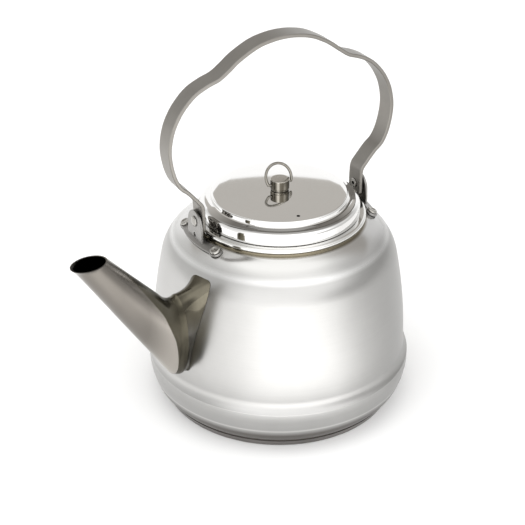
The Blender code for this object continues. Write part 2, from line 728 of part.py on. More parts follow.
def spout_sections():
    """Top point, bottom point and half width of the tube's sections, from the seam to the mouth."""
    throat_top = Vector(THROAT_TOP)
    throat_low = Vector(THROAT_BOTTOM)
    mouth_top = Vector((MOUTH_INNER, MOUTH_HEIGHT))
    mouth_low = Vector((MOUTH_OUTER, MOUTH_HEIGHT))
    throat_half = SEAM_HALF_WIDTH - 0.4 * MM
    sections = [
        ((SEAM_REACH, SEAM_HIGH), (SEAM_REACH, SEAM_LOW), SEAM_HALF_WIDTH),
        ((SEAM_REACH + 2.5 * MM, SEAM_HIGH - 0.6 * MM), (SEAM_REACH + 2.2 * MM, SEAM_LOW + 0.6 * MM),
         SEAM_HALF_WIDTH - 0.2 * MM),
        ((SEAM_REACH + 6.0 * MM, SEAM_HIGH), (SEAM_REACH + 5.0 * MM, SEAM_LOW + 2.2 * MM), throat_half),
    ]
    for share in (0.0, 0.15, 0.4, 0.7, 0.95):
        sections.append((throat_top.lerp(mouth_top, share), throat_low.lerp(mouth_low, share),
                         throat_half + (MOUTH_HALF_WIDTH - throat_half) * share))
    sections.append((mouth_top, mouth_low + Vector((1.0 * MM, 0.0)), MOUTH_HALF_WIDTH + 0.2 * MM))
    return sections


def make_spout_tube():
    sections = spout_sections()
    outer = [oval(top, low, half) for top, low, half in sections]
    inner = [oval(top, low, half, SPOUT_SHEET) for top, low, half in sections]
    return shell_between("spout_tube", outer, inner, brushed)


def collar_ring(share, inset):
    """A ring of the collar, from the seam at share 0 to the body's face at share 1."""
    seam_mid = (SEAM_HIGH + SEAM_LOW) / 2
    seam_half = (SEAM_HIGH - SEAM_LOW) / 2 - inset
    wall_mid = (COLLAR_HIGH + COLLAR_LOW) / 2
    wall_half = (COLLAR_HIGH - COLLAR_LOW) / 2 - inset
    waist = 1.0 - 0.10 * math.sin(math.pi * share)
    ring = []
    for i in range(SPOUT_STEPS):
        angle = math.tau * i / SPOUT_STEPS
        up = (1 + math.cos(angle)) / 2
        wall_width = (COLLAR_LOW_HALF_WIDTH
                      + (COLLAR_TOP_HALF_WIDTH - COLLAR_LOW_HALF_WIDTH) * up ** COLLAR_FLARE)
        wall_across = (wall_width * abs(math.sin(angle)) ** 0.35 * math.copysign(1, math.sin(angle))
                       * (1 - inset / wall_width * 0.8) + COLLAR_TOP_SHIFT * up)
        wall_z = wall_mid + wall_half * math.cos(angle)
        radius = body_radius(wall_z) + COLLAR_GAP
        wall_reach = math.sqrt(radius ** 2 - wall_across ** 2)
        seam_across = (SEAM_HALF_WIDTH - inset) * math.sin(angle)
        seam_z = seam_mid + seam_half * math.cos(angle)
        reach = SEAM_REACH - SEAT_GAP
        ring.append(spout_point(reach + (wall_reach - reach) * share,
                                (seam_across + (wall_across - seam_across) * share) * waist,
                                seam_z + (wall_z - seam_z) * share ** COLLAR_SAG))
    return ring


def make_spout_collar():
    shares = (0.0, 0.25, 0.5, 0.75, 1.0)
    outer = [collar_ring(share, 0.0) for share in shares]
    inner = [collar_ring(share, SPOUT_SHEET) for share in shares]
    return shell_between("spout_collar", outer, inner, brushed)


clear_scene()
satin = steel("satin_steel", (0.74, 0.73, 0.71), 0.32)
polished = steel("polished_steel", (0.78, 0.77, 0.75), 0.10)
brushed = steel("brushed_steel", (0.55, 0.53, 0.50), 0.28)
guide_material = steel("guide", (0.5, 0.5, 0.5), 0.5)

make_body()
make_base()
make_neck_ring()
make_spout_tube()
make_spout_collar()
make_lid()
make_lid_guide()
make_knob()
make_knob_screw()
make_knob_washer()
make_lid_ring()
make_handle()
for place, side in (("front", -1), ("rear", 1)):
    make_ear("ear_" + place, side)
    make_pivot_rivet("pivot_rivet_" + place, side)
    make_pivot_washer("pivot_washer_" + place, side)
    for hand, end in (("left", -side), ("right", side)):
        make_foot_rivet(f"ear_rivet_{place}_{hand}", side, end)
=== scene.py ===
"""Studio picture of the camp tea kettle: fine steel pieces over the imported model, and their studio."""

import math

import bmesh
import bpy
from mathutils import Matrix, Vector


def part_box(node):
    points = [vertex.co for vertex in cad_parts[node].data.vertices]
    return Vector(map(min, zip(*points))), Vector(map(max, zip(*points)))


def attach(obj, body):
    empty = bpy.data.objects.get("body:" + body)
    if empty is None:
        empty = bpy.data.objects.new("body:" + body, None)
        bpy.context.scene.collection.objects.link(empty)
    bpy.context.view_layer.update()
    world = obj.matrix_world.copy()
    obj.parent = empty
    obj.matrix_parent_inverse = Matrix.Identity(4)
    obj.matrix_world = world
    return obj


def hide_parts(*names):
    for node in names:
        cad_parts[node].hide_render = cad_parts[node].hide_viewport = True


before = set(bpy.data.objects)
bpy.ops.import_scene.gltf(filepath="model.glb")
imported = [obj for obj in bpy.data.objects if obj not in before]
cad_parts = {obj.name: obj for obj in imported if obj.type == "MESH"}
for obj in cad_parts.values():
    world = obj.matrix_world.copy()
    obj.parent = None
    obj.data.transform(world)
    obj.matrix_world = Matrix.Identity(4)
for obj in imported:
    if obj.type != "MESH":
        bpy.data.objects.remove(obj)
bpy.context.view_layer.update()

MM = 0.001

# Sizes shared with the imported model, in millimetres
BULGE_RADIUS, BULGE_LOW, BULGE_HIGH = 90.0, 27.0, 29.5
BASE_RADIUS, BASE_FOOT_RADIUS, BASE_BAND_HEIGHT = 81.8, 79.6, 5.5
WALL_FOOT, WALL_FOOT_RADIUS, WALL_BELLY = 35.0, 86.8, 1.84
WALL_TOP, WALL_TOP_RADIUS = 105.07, 79.45
SHOULDER_CURVE, SHOULDER_SLOPE = 33.0, math.radians(24.0)
NECK_RADIUS, NECK_FILLET = 56.2, 1.5
SHEET, SEAT_GAP = 0.8, 0.3
NECK_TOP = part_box("body_shell")[1].z / MM
RING_LOW, RING_TOP = NECK_TOP + SEAT_GAP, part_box("neck_ring")[1].z / MM
BEAD_RADIUS, RING_THROAT, SPIGOT_DEPTH, SPIGOT_WALL = 57.6, 51.0, 6.0, 1.2
LID_EDGE, LID_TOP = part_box("lid_cover")[0].z / MM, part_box("lid_cover")[1].z / MM
LID_RADIUS, LID_LEDGE_RADIUS, PLATEAU_RADIUS = 53.3, 46.8, 45.6
LID_LEDGE_HEIGHT, PLATEAU_STEP, PLATEAU_CROWN = 9.0, 3.4, 1.2
VENT_INSET, VENT_TURN, VENT_HOLE = 6.9, math.radians(11.0), 1.2
GUIDE_RADIUS = 50.4
KNOB_BASE, KNOB_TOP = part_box("lid_knob")[0].z / MM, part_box("lid_knob")[1].z / MM
KNOB_RADIUS, KNOB_WAIST, KNOB_BORE = 6.6, 6.1, 2.25
WIRE_AXIS, WIRE_LEAN = 154.36, math.radians(26.0)
WIRE_LOOP, WIRE_RISE, WIRE_RADIUS, WIRE_HOLE = 9.3, 4.0, 0.95, 1.2
PIVOT_HEIGHT, PIVOT_HALF_SPAN, PIVOT_HOLE = 141.515, 59.0, 2.4
HANDLE_RISE, HANDLE_SPREAD = 116.0, 81.0
STRAP_HALF_THICK, STRAP_HALF_WIDE, STRAP_EDGE, STRAP_END = 1.2, 7.0, 0.45, 2.5
EAR_INNER, EAR_SHEET, EAR_ANGLE = 61.2, 1.5, math.radians(20.5)
EAR_LOBE, EAR_FOOT_HALF, EAR_SPARE_HOLE = 4.3, 3.1, 1.6
RIVET_HOLE = 2.15
SPOUT_TURN = math.radians(18.0)

# Spout, measured outwards from the body's axis and upwards, in millimetres
SEAM_REACH, SEAM_LOW, SEAM_HIGH, SEAM_HALF = 95.5, 50.5, 110.0, 11.2
COLLAR_LOW, COLLAR_HIGH, COLLAR_LEAN = 48.0, 115.5, 3.5
SPOUT_WALL, MOUTH_HALF = 1.0, 8.8
STRAINER_PITCH, STRAINER_HOLE = 6.4, 2.0
OVAL_SIDES = 72

# Half of the handle's middle line: shares of the half width and of the height above the pivots
HANDLE_LEG = ((0.0, 0.05), (0.03, 0.105), (0.18, 0.145), (0.45, 0.205), (0.72, 0.255))
HANDLE_ARCH = ((0.975, 0.34), (1.0, 0.46), (0.975, 0.57), (0.92, 0.655), (0.85, 0.72), (0.77, 0.77),
               (0.67, 0.805), (0.57, 0.83), (0.485, 0.87), (0.40, 0.915), (0.25, 0.97), (0.12, 0.993))

# Where the painted dark reflection along the spout's crest ends: share of the way to the mouth, and
# degrees down from the top
CREST_REFLECTION_EDGE = ((0.0, 200.0), (0.09, 170.0), (0.15, 95.0), (0.28, 68.0), (0.5, 55.0),
               (0.75, 38.0), (9.0, 16.0))

# Steps round the axis: body and lid, lid guide, knob, pivots and washers, screw and foot rivets
BODY_STEPS, GUIDE_STEPS, KNOB_STEPS, PIVOT_STEPS, RIVET_STEPS = 192, 128, 96, 64, 48

# Marks on the steel, in millimetres: heights on the body for a painted highlight line, the polish, a
# painted shadow under the bead, and a painted highlight and painted shade low on the bulge, then the
# lid's front ledge with its painted dark reflection
SHOULDER_HIGHLIGHT, SHOULDER_HIGHLIGHT_HALF, SHOULDER_HIGHLIGHT_SOFT = 120.0, 0.2, 2.2
POLISH_FOOT, POLISH_RISE = 117.0, 9.0
BEAD_SHADOW_FOOT, BEAD_SHADOW_RISE = 129.2, 0.8
LOW_HIGHLIGHT, LOW_SHADE_TOP, LOW_SHADE_DEPTH = 17.6, 16.6, 4.0
LEDGE_MIDDLE, LEDGE_HALF = 49.3, 2.4

# Tones of the steel, the paler first where there are two
BODY_TONES = ((0.425, 0.421, 0.413), (0.385, 0.381, 0.373))
# The shoulder's painted highlight line, and the polished shoulder's tone
SHOULDER_HIGHLIGHT_TONE, SHOULDER_TONE = (0.85, 0.85, 0.845), (0.57, 0.565, 0.555)
# Painted shadow under the bead, and a painted highlight line low on the bulge
BEAD_SHADOW_TONE, LOW_HIGHLIGHT_TONE = (0.16, 0.14, 0.10), (0.80, 0.79, 0.77)
# Painted shade low on the bulge, and painted shade in the pan's seam
LOW_SHADE_TONE, SEAM_SHADE_TONE = (0.145, 0.135, 0.125), (0.025, 0.022, 0.02)
BASE_TONES = ((0.26, 0.245, 0.235), (0.19, 0.18, 0.17))
BEAD_TONES = ((0.66, 0.655, 0.64), (0.61, 0.605, 0.59))
# The lid, and the painted dark reflection on its front ledge
LID_TONES, LEDGE_REFLECTION_TONE = ((0.76, 0.755, 0.745), (0.73, 0.725, 0.715)), (0.19, 0.184, 0.174)
DULL_TONES = ((0.60, 0.59, 0.575), (0.50, 0.49, 0.475))
KNOB_TONES = ((0.36, 0.34, 0.30), (0.12, 0.109, 0.088), (0.07, 0.062, 0.048))
KNOB_TOP_TONE = (0.44, 0.42, 0.385)
SPOUT_FACE_TONES = ((0.0, (0.47, 0.438, 0.40)), (0.3, (0.37, 0.344, 0.312)),
                    (0.6, (0.19, 0.175, 0.157)), (1.0, (0.135, 0.124, 0.111)))
# Painted dark reflection along the spout's crest, and painted shade inside the spout
CREST_REFLECTION_TONES, SPOUT_INSIDE_SHADE_TONE = ((0.125, 0.114, 0.085), (0.07, 0.063, 0.046)), (0.02, 0.018, 0.015)
COLLAR_REFLECTION_TONES = ((0.115, 0.105, 0.08), (0.065, 0.058, 0.043))
STRAP_TONES = ((0.232, 0.221, 0.204), (0.195, 0.184, 0.167))
EAR_TONES = ((0.30, 0.293, 0.283), (0.255, 0.248, 0.238))
RIVET_TONES = ((0.38, 0.37, 0.35), (0.25, 0.24, 0.22))
WIRE_TONES = ((0.27, 0.255, 0.23), (0.16, 0.15, 0.13))

# The camera's turn about the kettle, its place, where it points, and its focal length in pixels
CAMERA_TURN, CAMERA_PLACE = math.radians(29.05), (0.0, -0.8, 0.5465)
CAMERA_PAN, CAMERA_TILT, CAMERA_ROLL = math.radians(-0.806), math.radians(29.48), math.radians(0.16)
FOCAL_PIXELS, PHOTO_PIXELS, SENSOR_WIDTH = 1351.5, 525, 36.0

# The room by direction, brightness against the height of the direction, and its painted patches
ROOM_BRIGHTNESS = ((0.0, 1.0), (0.40, 0.95), (0.72, 0.90), (0.86, 1.2), (0.94, 1.65), (1.0, 1.7))
BACK_WALL, BACK_TABLE, FRONT_WALL = (0.61, 0.585, 0.55), (1.3, 1.3, 1.3), (2.2, 2.2, 2.2)
RIGHT_WALL, LEFT_WALL = (0.75, 0.745, 0.735), (1.1, 1.1, 1.09)
FRONT_TURN = math.radians(14.0)
BACK_EDGE_LOW, BACK_EDGE_HIGH, BACK_EDGE_BEND, BACK_BEND_END = 0.392, 0.397, 1.7, 0.08

# The painted pool of light that the table glows with in front of the kettle, by degrees round it, and
# where it starts, in metres
TABLE_LIGHT_FAN = ((-150, 0.0), (-105, 0.22), (-60, 0.28), (-30, 0.5), (-5, 0.95), (14, 1.0), (35, 0.9),
             (65, 0.2), (90, 0.0))
FAN_START, FAN_FULL, FAN_STRENGTH, TABLE_GLOW = 0.135, 0.175, 1.8, 0.09


def deselect():
    bpy.ops.object.select_all(action="DESELECT")


def take(piece):
    """Make one piece the only selected and the active one."""
    deselect()
    piece.select_set(True)
    bpy.context.view_layer.objects.active = piece


def shaded(piece, angle=32):
    take(piece)
    bpy.ops.object.shade_smooth_by_angle(angle=math.radians(angle))
    return piece


def settle(piece):
    """Put the piece's place into its mesh, so that its object sits at the origin, unturned."""
    take(piece)
    bpy.ops.object.transform_apply(location=True, rotation=True, scale=True)


def smooth_through(points, steps):
    """A Catmull-Rom line through points."""
    points = [Vector(p) for p in points]
    line = []
    for i in range(len(points) - 1):
        before, after = points[max(i - 1, 0)], points[min(i + 2, len(points) - 1)]
        for k in range(steps):
            t = k / steps
            line.append(0.5 * (2 * points[i] + (points[i + 1] - before) * t
                               + (2 * before - 5 * points[i] + 4 * points[i + 1] - after) * t ** 2
                               + (3 * points[i] - before - 3 * points[i + 1] + after) * t ** 3))
    return line + [points[-1]]


def arc(r, z, radius, start, end, steps=8):
    """Points of an arc round a centre, from one angle in degrees to another."""
    angles = [math.radians(start + (end - start) * i / steps) for i in range(steps + 1)]
    return [(r + radius * math.cos(a), z + radius * math.sin(a)) for a in angles]


def turned(name, outline, steps):
    """Draw an outline of (radius, height) in millimetres point by point and spin it round Z."""
    deselect()
    bpy.ops.mesh.primitive_plane_add(size=0.001, location=(0, 0, 0))
    piece = bpy.context.active_object
    piece.name = name
    bpy.ops.object.mode_set(mode="EDIT")
    bpy.ops.mesh.select_mode(type="VERT")
    bpy.ops.mesh.select_all(action="SELECT")
    bpy.ops.mesh.merge(type="CENTER")
    r, z = outline[0]
    bpy.ops.transform.translate(value=(r * MM, 0, z * MM))
    for next_r, next_z in outline[1:]:
        bpy.ops.mesh.extrude_region_move(
            TRANSFORM_OT_translate={"value": ((next_r - r) * MM, 0, (next_z - z) * MM)})
        r, z = next_r, next_z
    if outline[0][0] > 0 and outline[-1][0] > 0:
        bm = bmesh.from_edit_mesh(piece.data)
        ends = [v for v in bm.verts if len(v.link_edges) == 1]
        for v in bm.verts:
            v.select_set(v in ends)
        bmesh.update_edit_mesh(piece.data)
        bpy.ops.mesh.edge_face_add()
    bpy.ops.mesh.select_all(action="SELECT")
    bpy.ops.mesh.spin(steps=steps, angle=math.tau, center=(0, 0, 0), axis=(0, 0, 1))
    bpy.ops.mesh.select_all(action="SELECT")
    bpy.ops.mesh.remove_doubles(threshold=0.000002)
    bpy.ops.mesh.normals_make_consistent(inside=False)
    bpy.ops.object.mode_set(mode="OBJECT")
    settle(piece)
    return shaded(piece)


def offset(points, distance):
    """The same open line moved to the left of its direction."""
    moved = []
    for i, point in enumerate(points):
        a, b = points[max(i - 1, 0)], points[min(i + 1, len(points) - 1)]
        along = Vector((b[0] - a[0], b[1] - a[1])).normalized()
        moved.append((point[0] - along.y * distance, point[1] + along.x * distance))
    return moved


def direction_at(path, i):
    """The direction of a line of points at one of them."""
    return (path[min(i + 1, len(path) - 1)] - path[max(i - 1, 0)]).normalized()


def combine(piece, other, operation):
    """Cut one piece with another or join it on, and throw the other away."""
    take(piece)
    change = piece.modifiers.new("combine", "BOOLEAN")
    change.object = other
    change.operation = operation
    change.solver = "EXACT"
    bpy.ops.object.modifier_apply(modifier=change.name)
    bpy.data.objects.remove(other, do_unlink=True)


def drill(piece, start, end, radius, vertices=32):
    """Drill a round hole between two points, in millimetres."""
    start, end = Vector(start) * MM, Vector(end) * MM
    turn = Vector((0, 0, 1)).rotation_difference(end - start).to_euler()
    deselect()
    bpy.ops.mesh.primitive_cylinder_add(vertices=vertices, radius=radius * MM, depth=(end - start).length,
                                        location=(start + end) / 2, rotation=turn)
    combine(piece, bpy.context.active_object, "DIFFERENCE")


def point_along(piece, where, direction):
    """Stand a piece turned about Z on a point of the kettle, in millimetres, along a direction."""
    piece.rotation_mode = "QUATERNION"
    piece.rotation_quaternion = Vector((0, 0, 1)).rotation_difference(Vector(direction))
    piece.location = Vector(where) * MM
    settle(piece)


def mesh_of_rings(name, rings, around=False):
    """Skin rows of points, in millimetres, into one surface, with its ends closed or joined up."""
    bm = bmesh.new()
    loops = [[bm.verts.new(Vector(p) * MM) for p in ring] for ring in rings]
    pairs = list(zip(loops, loops[1:])) + ([(loops[-1], loops[0])] if around else [])
    for low, high in pairs:
        for i in range(len(low)):
            j = (i + 1) % len(low)
            bm.faces.new((low[i], low[j], high[j], high[i]))
    if not around:
        bm.faces.new(loops[0][::-1])
        bm.faces.new(loops[-1])
    bmesh.ops.recalc_face_normals(bm, faces=bm.faces)
    mesh = bpy.data.meshes.new(name)
    bm.to_mesh(mesh)
    bm.free()
    piece = bpy.data.objects.new(name, mesh)
    bpy.context.scene.collection.objects.link(piece)
    return shaded(piece)


def from_camera(right, ahead, up):
    """A place given to the right of, ahead of and above the kettle, as the camera sees it."""
    c, s = math.cos(CAMERA_TURN), math.sin(CAMERA_TURN)
    return Vector((right * c + ahead * s, -right * s + ahead * c, up))


class Graph:
    """A node tree, built one node at a time."""

    def __init__(self, tree):
        self.tree = tree

    def node(self, kind, inputs=(), **settings):
        """A new node, its inputs given as pairs of a socket and a number or a link."""
        node = self.tree.nodes.new("ShaderNode" + kind)
        for setting, value in settings.items():
            setattr(node, setting, value)
        for socket, value in inputs:
            if isinstance(value, bpy.types.NodeSocket):
                self.tree.links.new(value, node.inputs[socket])
            else:
                node.inputs[socket].default_value = value
        return node

    def math(self, kind, a, b=None, c=None, clamp=False):
        inputs = [(i, value) for i, value in enumerate((a, b, c)) if value is not None]
        return self.node("Math", inputs, operation=kind, use_clamp=clamp).outputs[0]

    def times(self, a, b):
        return self.math("MULTIPLY", a, b)

    def dot(self, vector, way):
        return self.node("VectorMath", [(0, vector), (1, way)], operation="DOT_PRODUCT").outputs["Value"]

    def rise(self, value, start, width):
        """0 up to a start, growing to 1 over a width, or downwards if the width is below 0."""
        return self.math("DIVIDE", self.math("SUBTRACT", value, start), width, clamp=True)

    def step(self, value, start, end, full=1.0):
        """A soft step from 0 at the start to full at the end, which may be the lower of the two."""
        low, high = (0.0, full) if start < end else (full, 0.0)
        inputs = [("Value", value), ("From Min", min(start, end)), ("From Max", max(start, end)),
                  ("To Min", low), ("To Max", high)]
        return self.node("MapRange", inputs, interpolation_type="SMOOTHSTEP").outputs[0]

    def ramp(self, value, *stops):
        """A colour ramp; each stop is a position with a colour, or with a number for a grey."""
        node = self.node("ValToRGB", [(0, value)])
        while len(node.color_ramp.elements) < len(stops):
            node.color_ramp.elements.new(0.5)
        for element, (position, colour) in zip(node.color_ramp.elements, stops):
            element.position = position
            element.color = (*colour, 1.0) if isinstance(colour, tuple) else (colour,) * 3 + (1.0,)
        return node.outputs["Color"]

    def blend(self, share, a, b, kind="MIX"):
        inputs = [(socket, (*value, 1.0) if isinstance(value, tuple) else value)
                  for socket, value in ((0, share), (6, a), (7, b))]
        return self.node("Mix", inputs, data_type="RGBA", blend_type=kind).outputs[2]


class Finish(Graph):
    """A steel finish, on the piece's own coordinates."""

    def __init__(self, name, rough):
        self.material = bpy.data.materials.new(name)
        self.material.use_nodes = True
        super().__init__(self.material.node_tree)
        self.shader = self.tree.nodes["Principled BSDF"]
        self.shader.inputs["Metallic"].default_value = 1.0
        self.shader.inputs["Roughness"].default_value = rough
        self.place = self.node("TexCoord").outputs["Object"]
        self.x, self.y, self.z = self.node("SeparateXYZ", [(0, self.place)]).outputs[:3]

    def stretched(self, x, y, z):
        """The piece's coordinates, each multiplied by its own number."""
        scaled = (self.times(self.x, x), self.times(self.y, y), self.times(self.z, z))
        return self.node("CombineXYZ", list(enumerate(scaled))).outputs[0]

    def height(self):
        """Height above the kettle's foot, in millimetres."""
        return self.times(self.z, 1000.0)

    def radius(self):
        """Distance from the kettle's axis, in millimetres."""
        square = self.math("ADD", self.times(self.x, self.x), self.times(self.y, self.y))
        return self.times(self.math("SQRT", square), 1000.0)

    def towards(self, way):
        """1 on the side of a level direction, 0 at right angles to it."""
        along = self.math("ADD", self.times(self.x, way.x), self.times(self.y, way.y))
        return self.math("DIVIDE", self.times(along, 1000.0), self.radius())

    def noise(self, vector, scale=1.0, detail=4.0, rough=0.55):
        inputs = [("Scale", scale), ("Detail", detail), ("Roughness", rough), ("Vector", vector)]
        return self.node("TexNoise", inputs).outputs["Fac"]

    def mixed(self, a, share, b):
        """Two values added up, the first by its share and the second by the rest."""
        return self.math("ADD", self.times(a, share), self.times(b, 1.0 - share))

    def band(self, value, centre, half, soft):
        """1 where a value lies near a centre, falling to 0 over a soft edge."""
        away = self.math("ABSOLUTE", self.math("SUBTRACT", value, centre))
        return self.math("SUBTRACT", 1.0, self.rise(away, half, soft), clamp=True)

    def drive(self, socket, value):
        """Link a value to a socket of the shader, and hand it back."""
        self.tree.links.new(value, self.shader.inputs[socket])
        return value

    def colour(self, value):
        self.tone = self.drive("Base Color", value)

    def roughness(self, value, low, high):
        node = self.node("MapRange", [("Value", value), ("To Min", low), ("To Max", high)])
        self.rough = self.drive("Roughness", node.outputs[0])

    def bump(self, height, strength, distance):
        inputs = [("Strength", strength), ("Distance", distance), ("Height", height)]
        self.drive("Normal", self.node("Bump", inputs).outputs[0])


def lathe_brushed(name, tones, low_rough, high_rough, bump):
    """Steel polished on a lathe: faint rings round the axis, with soft clouds over them."""
    f = Finish(name, low_rough)
    pale, dark = tones
    across = (f.times(f.radius(), 2.2), f.times(f.z, 2200.0), f.times(f.x, 14.0))
    rings = f.noise(f.node("CombineXYZ", list(enumerate(across))).outputs[0], 1.0, 3.0)
    clouds = f.noise(f.place, 26.0, 4.0, 0.6)
    both = f.mixed(rings, 0.35, clouds)
    f.colour(f.ramp(both, (0.34, dark), (0.66, pale)))
    f.roughness(both, low_rough, high_rough)
    f.bump(rings, bump, 0.00006)
    return f


def body_steel():
    """Satin wall, a painted highlight line round the shoulder, polish above it, a painted shadow under
    the bead, a painted highlight line and painted shade low on the bulge, and painted shade on the side
    to the camera's right.
    """
    f = lathe_brushed("body_steel", BODY_TONES, 0.28, 0.36, 0.02)
    height = f.height()
    # Painted highlight: a bright line round the shoulder
    line = f.band(height, SHOULDER_HIGHLIGHT, SHOULDER_HIGHLIGHT_HALF, SHOULDER_HIGHLIGHT_SOFT)
    polish = f.rise(height, POLISH_FOOT, POLISH_RISE)
    tone = f.blend(f.times(line, 0.5), f.tone, SHOULDER_HIGHLIGHT_TONE)
    tone = f.blend(polish, tone, SHOULDER_TONE)
    # Painted shadow: darker just under the bead
    tone = f.blend(f.rise(height, BEAD_SHADOW_FOOT, BEAD_SHADOW_RISE), tone, BEAD_SHADOW_TONE)
    # Painted highlight: a pale line low on the bulge
    tone = f.blend(f.times(f.band(height, LOW_HIGHLIGHT, 0.1, 1.0), 0.45), tone, LOW_HIGHLIGHT_TONE)
    # Painted shade: darker towards the bottom of the bulge
    tone = f.blend(f.rise(height, LOW_SHADE_TOP, -LOW_SHADE_DEPTH), tone, LOW_SHADE_TONE)
    # Painted shade: darker on the side to the camera's right
    shade = f.ramp(f.towards(from_camera(1, 0, 0)), (0.45, 1.0), (0.78, 0.86), (1.0, 0.70))
    f.colour(f.blend(1.0, tone, shade, "MULTIPLY"))
    f.drive("Roughness", f.node("Mix", [(0, polish), (2, f.rough), (3, 0.17)]).outputs[0])
    return f.material


def base_steel():
    """Darker steel with a black line where the pan meets the body: a dark joint with painted shade in it.
    """
    f = lathe_brushed("base_steel", BASE_TONES, 0.28, 0.40, 0.1)
    # Painted shade in the seam, over the dark joint
    seam = f.band(f.height(), BASE_BAND_HEIGHT, 0.7, 0.4)
    f.colour(f.blend(seam, f.tone, SEAM_SHADE_TONE))
    return f.material


def lid_steel():
    """Mirror polish, with a painted dark reflection on the ledge's side towards the camera."""
    f = lathe_brushed("lid_steel", LID_TONES, 0.03, 0.06, 0.01)
    facing = f.rise(f.towards(from_camera(0.1, -1, 0)), 0.25, 0.5)
    ledge = f.times(f.band(f.radius(), LEDGE_MIDDLE, LEDGE_HALF, 0.5), facing)
    # Painted dark reflection on the front of the ledge
    f.colour(f.blend(f.times(ledge, 0.9), f.tone, LEDGE_REFLECTION_TONE))
    return f.material


def dull_steel():
    """Unpolished sheet inside the lid."""
    return lathe_brushed("dull_steel", DULL_TONES, 0.34, 0.46, 0.12).material


def knob_steel():
    """Browned steel with lighter upright streaks."""
    f = Finish("knob_steel", 0.12)
    streaks = f.noise(f.stretched(330.0, 330.0, 8.0), 1.0, 2.0)
    clouds = f.noise(f.place, 90.0, 4.0)
    pale, middle, dark = KNOB_TONES
    side = f.ramp(f.mixed(streaks, 0.8, clouds), (0.40, dark), (0.54, middle), (0.64, pale))
    top = f.math("GREATER_THAN", f.height(), KNOB_TOP - 0.3)
    f.colour(f.blend(top, side, KNOB_TOP_TONE))
    f.roughness(clouds, 0.10, 0.18)
    f.bump(clouds, 0.02, 0.00004)
    return f.material


def spout_steel():
    """Polished sheet, with a painted dark reflection along its crest, and painted shade inside."""
    f = Finish("spout_steel", 0.16)
    grain = f.noise(f.stretched(220.0, 220.0, 60.0), 1.0, 4.0)
    clouds = f.noise(f.place, 30.0, 4.0)
    pale, dark = CREST_REFLECTION_TONES
    crest = f.node("Attribute", attribute_name="crest").outputs["Fac"]
    shift = f.math("ADD", crest, f.times(f.math("SUBTRACT", clouds, 0.5), 0.05))
    face = f.ramp(f.rise(f.radius(), 96.0, 50.0), *SPOUT_FACE_TONES)
    # Painted dark reflection along the crest
    crest_reflection = f.ramp(clouds, (0.35, dark), (0.65, pale))
    outside = f.blend(f.rise(shift, 0.5, 0.06), face, crest_reflection)
    # Painted shade inside the spout
    f.colour(f.blend(f.math("LESS_THAN", crest, 0.05), outside, SPOUT_INSIDE_SHADE_TONE))
    f.roughness(f.mixed(grain, 0.5, clouds), 0.14, 0.26)
    f.bump(grain, 0.03, 0.00005)
    return f.material


def collar_steel():
    f = Finish("collar_steel", 0.2)
    grain = f.noise(f.stretched(160.0, 160.0, 90.0), 1.0, 4.0)
    both = f.mixed(grain, 0.4, f.noise(f.place, 40.0, 4.0))
    pale, dark = COLLAR_REFLECTION_TONES
    # Painted dark reflection over the whole collar
    f.colour(f.ramp(both, (0.3, dark), (0.7, pale)))
    f.roughness(both, 0.08, 0.16)
    f.bump(grain, 0.03, 0.00006)
    return f.material


def strap_steel(name, tones):
    """Flat strip, brushed across and tumbled, with brighter rubbed patches."""
    f = Finish(name, 0.26)
    streaks = f.noise(f.stretched(120.0, 1400.0, 120.0), 1.0, 2.0)
    both = f.mixed(streaks, 0.25, f.noise(f.place, 45.0, 5.0, 0.6))
    pale, dark = tones
    f.colour(f.ramp(both, (0.32, dark), (0.68, pale)))
    f.roughness(both, 0.34, 0.44)
    f.bump(streaks, 0.02, 0.00003)
    return f.material


def rivet_steel(name, tones):
    """Drawn wire and rivet steel, finely pitted."""
    f = Finish(name, 0.16)
    pits = f.noise(f.place, 420.0, 4.0, 0.6)
    pale, dark = tones
    f.colour(f.ramp(pits, (0.3, dark), (0.7, pale)))
    f.roughness(pits, 0.14, 0.26)
    f.bump(pits, 0.06, 0.0001)
    return f.material


def wall_radius(z):
    share = (z - WALL_FOOT) / (WALL_TOP - WALL_FOOT)
    lean = (WALL_TOP_RADIUS - WALL_FOOT_RADIUS) * share
    return WALL_FOOT_RADIUS + lean + WALL_BELLY * 4 * share * (1 - share)


def shoulder():
    """The lean of the wall's top, the dome's centre, and where the straight slope begins."""
    lean = math.atan((WALL_FOOT_RADIUS - WALL_TOP_RADIUS + 4 * WALL_BELLY) / (WALL_TOP - WALL_FOOT))
    r = WALL_TOP_RADIUS - SHOULDER_CURVE * math.cos(lean)
    z = WALL_TOP - SHOULDER_CURVE * math.sin(lean)
    up = math.pi / 2 - SHOULDER_SLOPE
    return lean, r, z, r + SHOULDER_CURVE * math.cos(up), z + SHOULDER_CURVE * math.sin(up)


def slope_height(r):
    _, _, _, start_r, start_z = shoulder()
    return start_z + (start_r - r) * math.tan(SHOULDER_SLOPE)


def body_radius(z):
    _, corner_r, corner_z, start_r, start_z = shoulder()
    if z <= WALL_TOP:
        return wall_radius(max(z, WALL_FOOT))
    if z <= start_z:
        return corner_r + math.sqrt(SHOULDER_CURVE ** 2 - (z - corner_z) ** 2)
    return start_r - (z - start_z) / math.tan(SHOULDER_SLOPE)


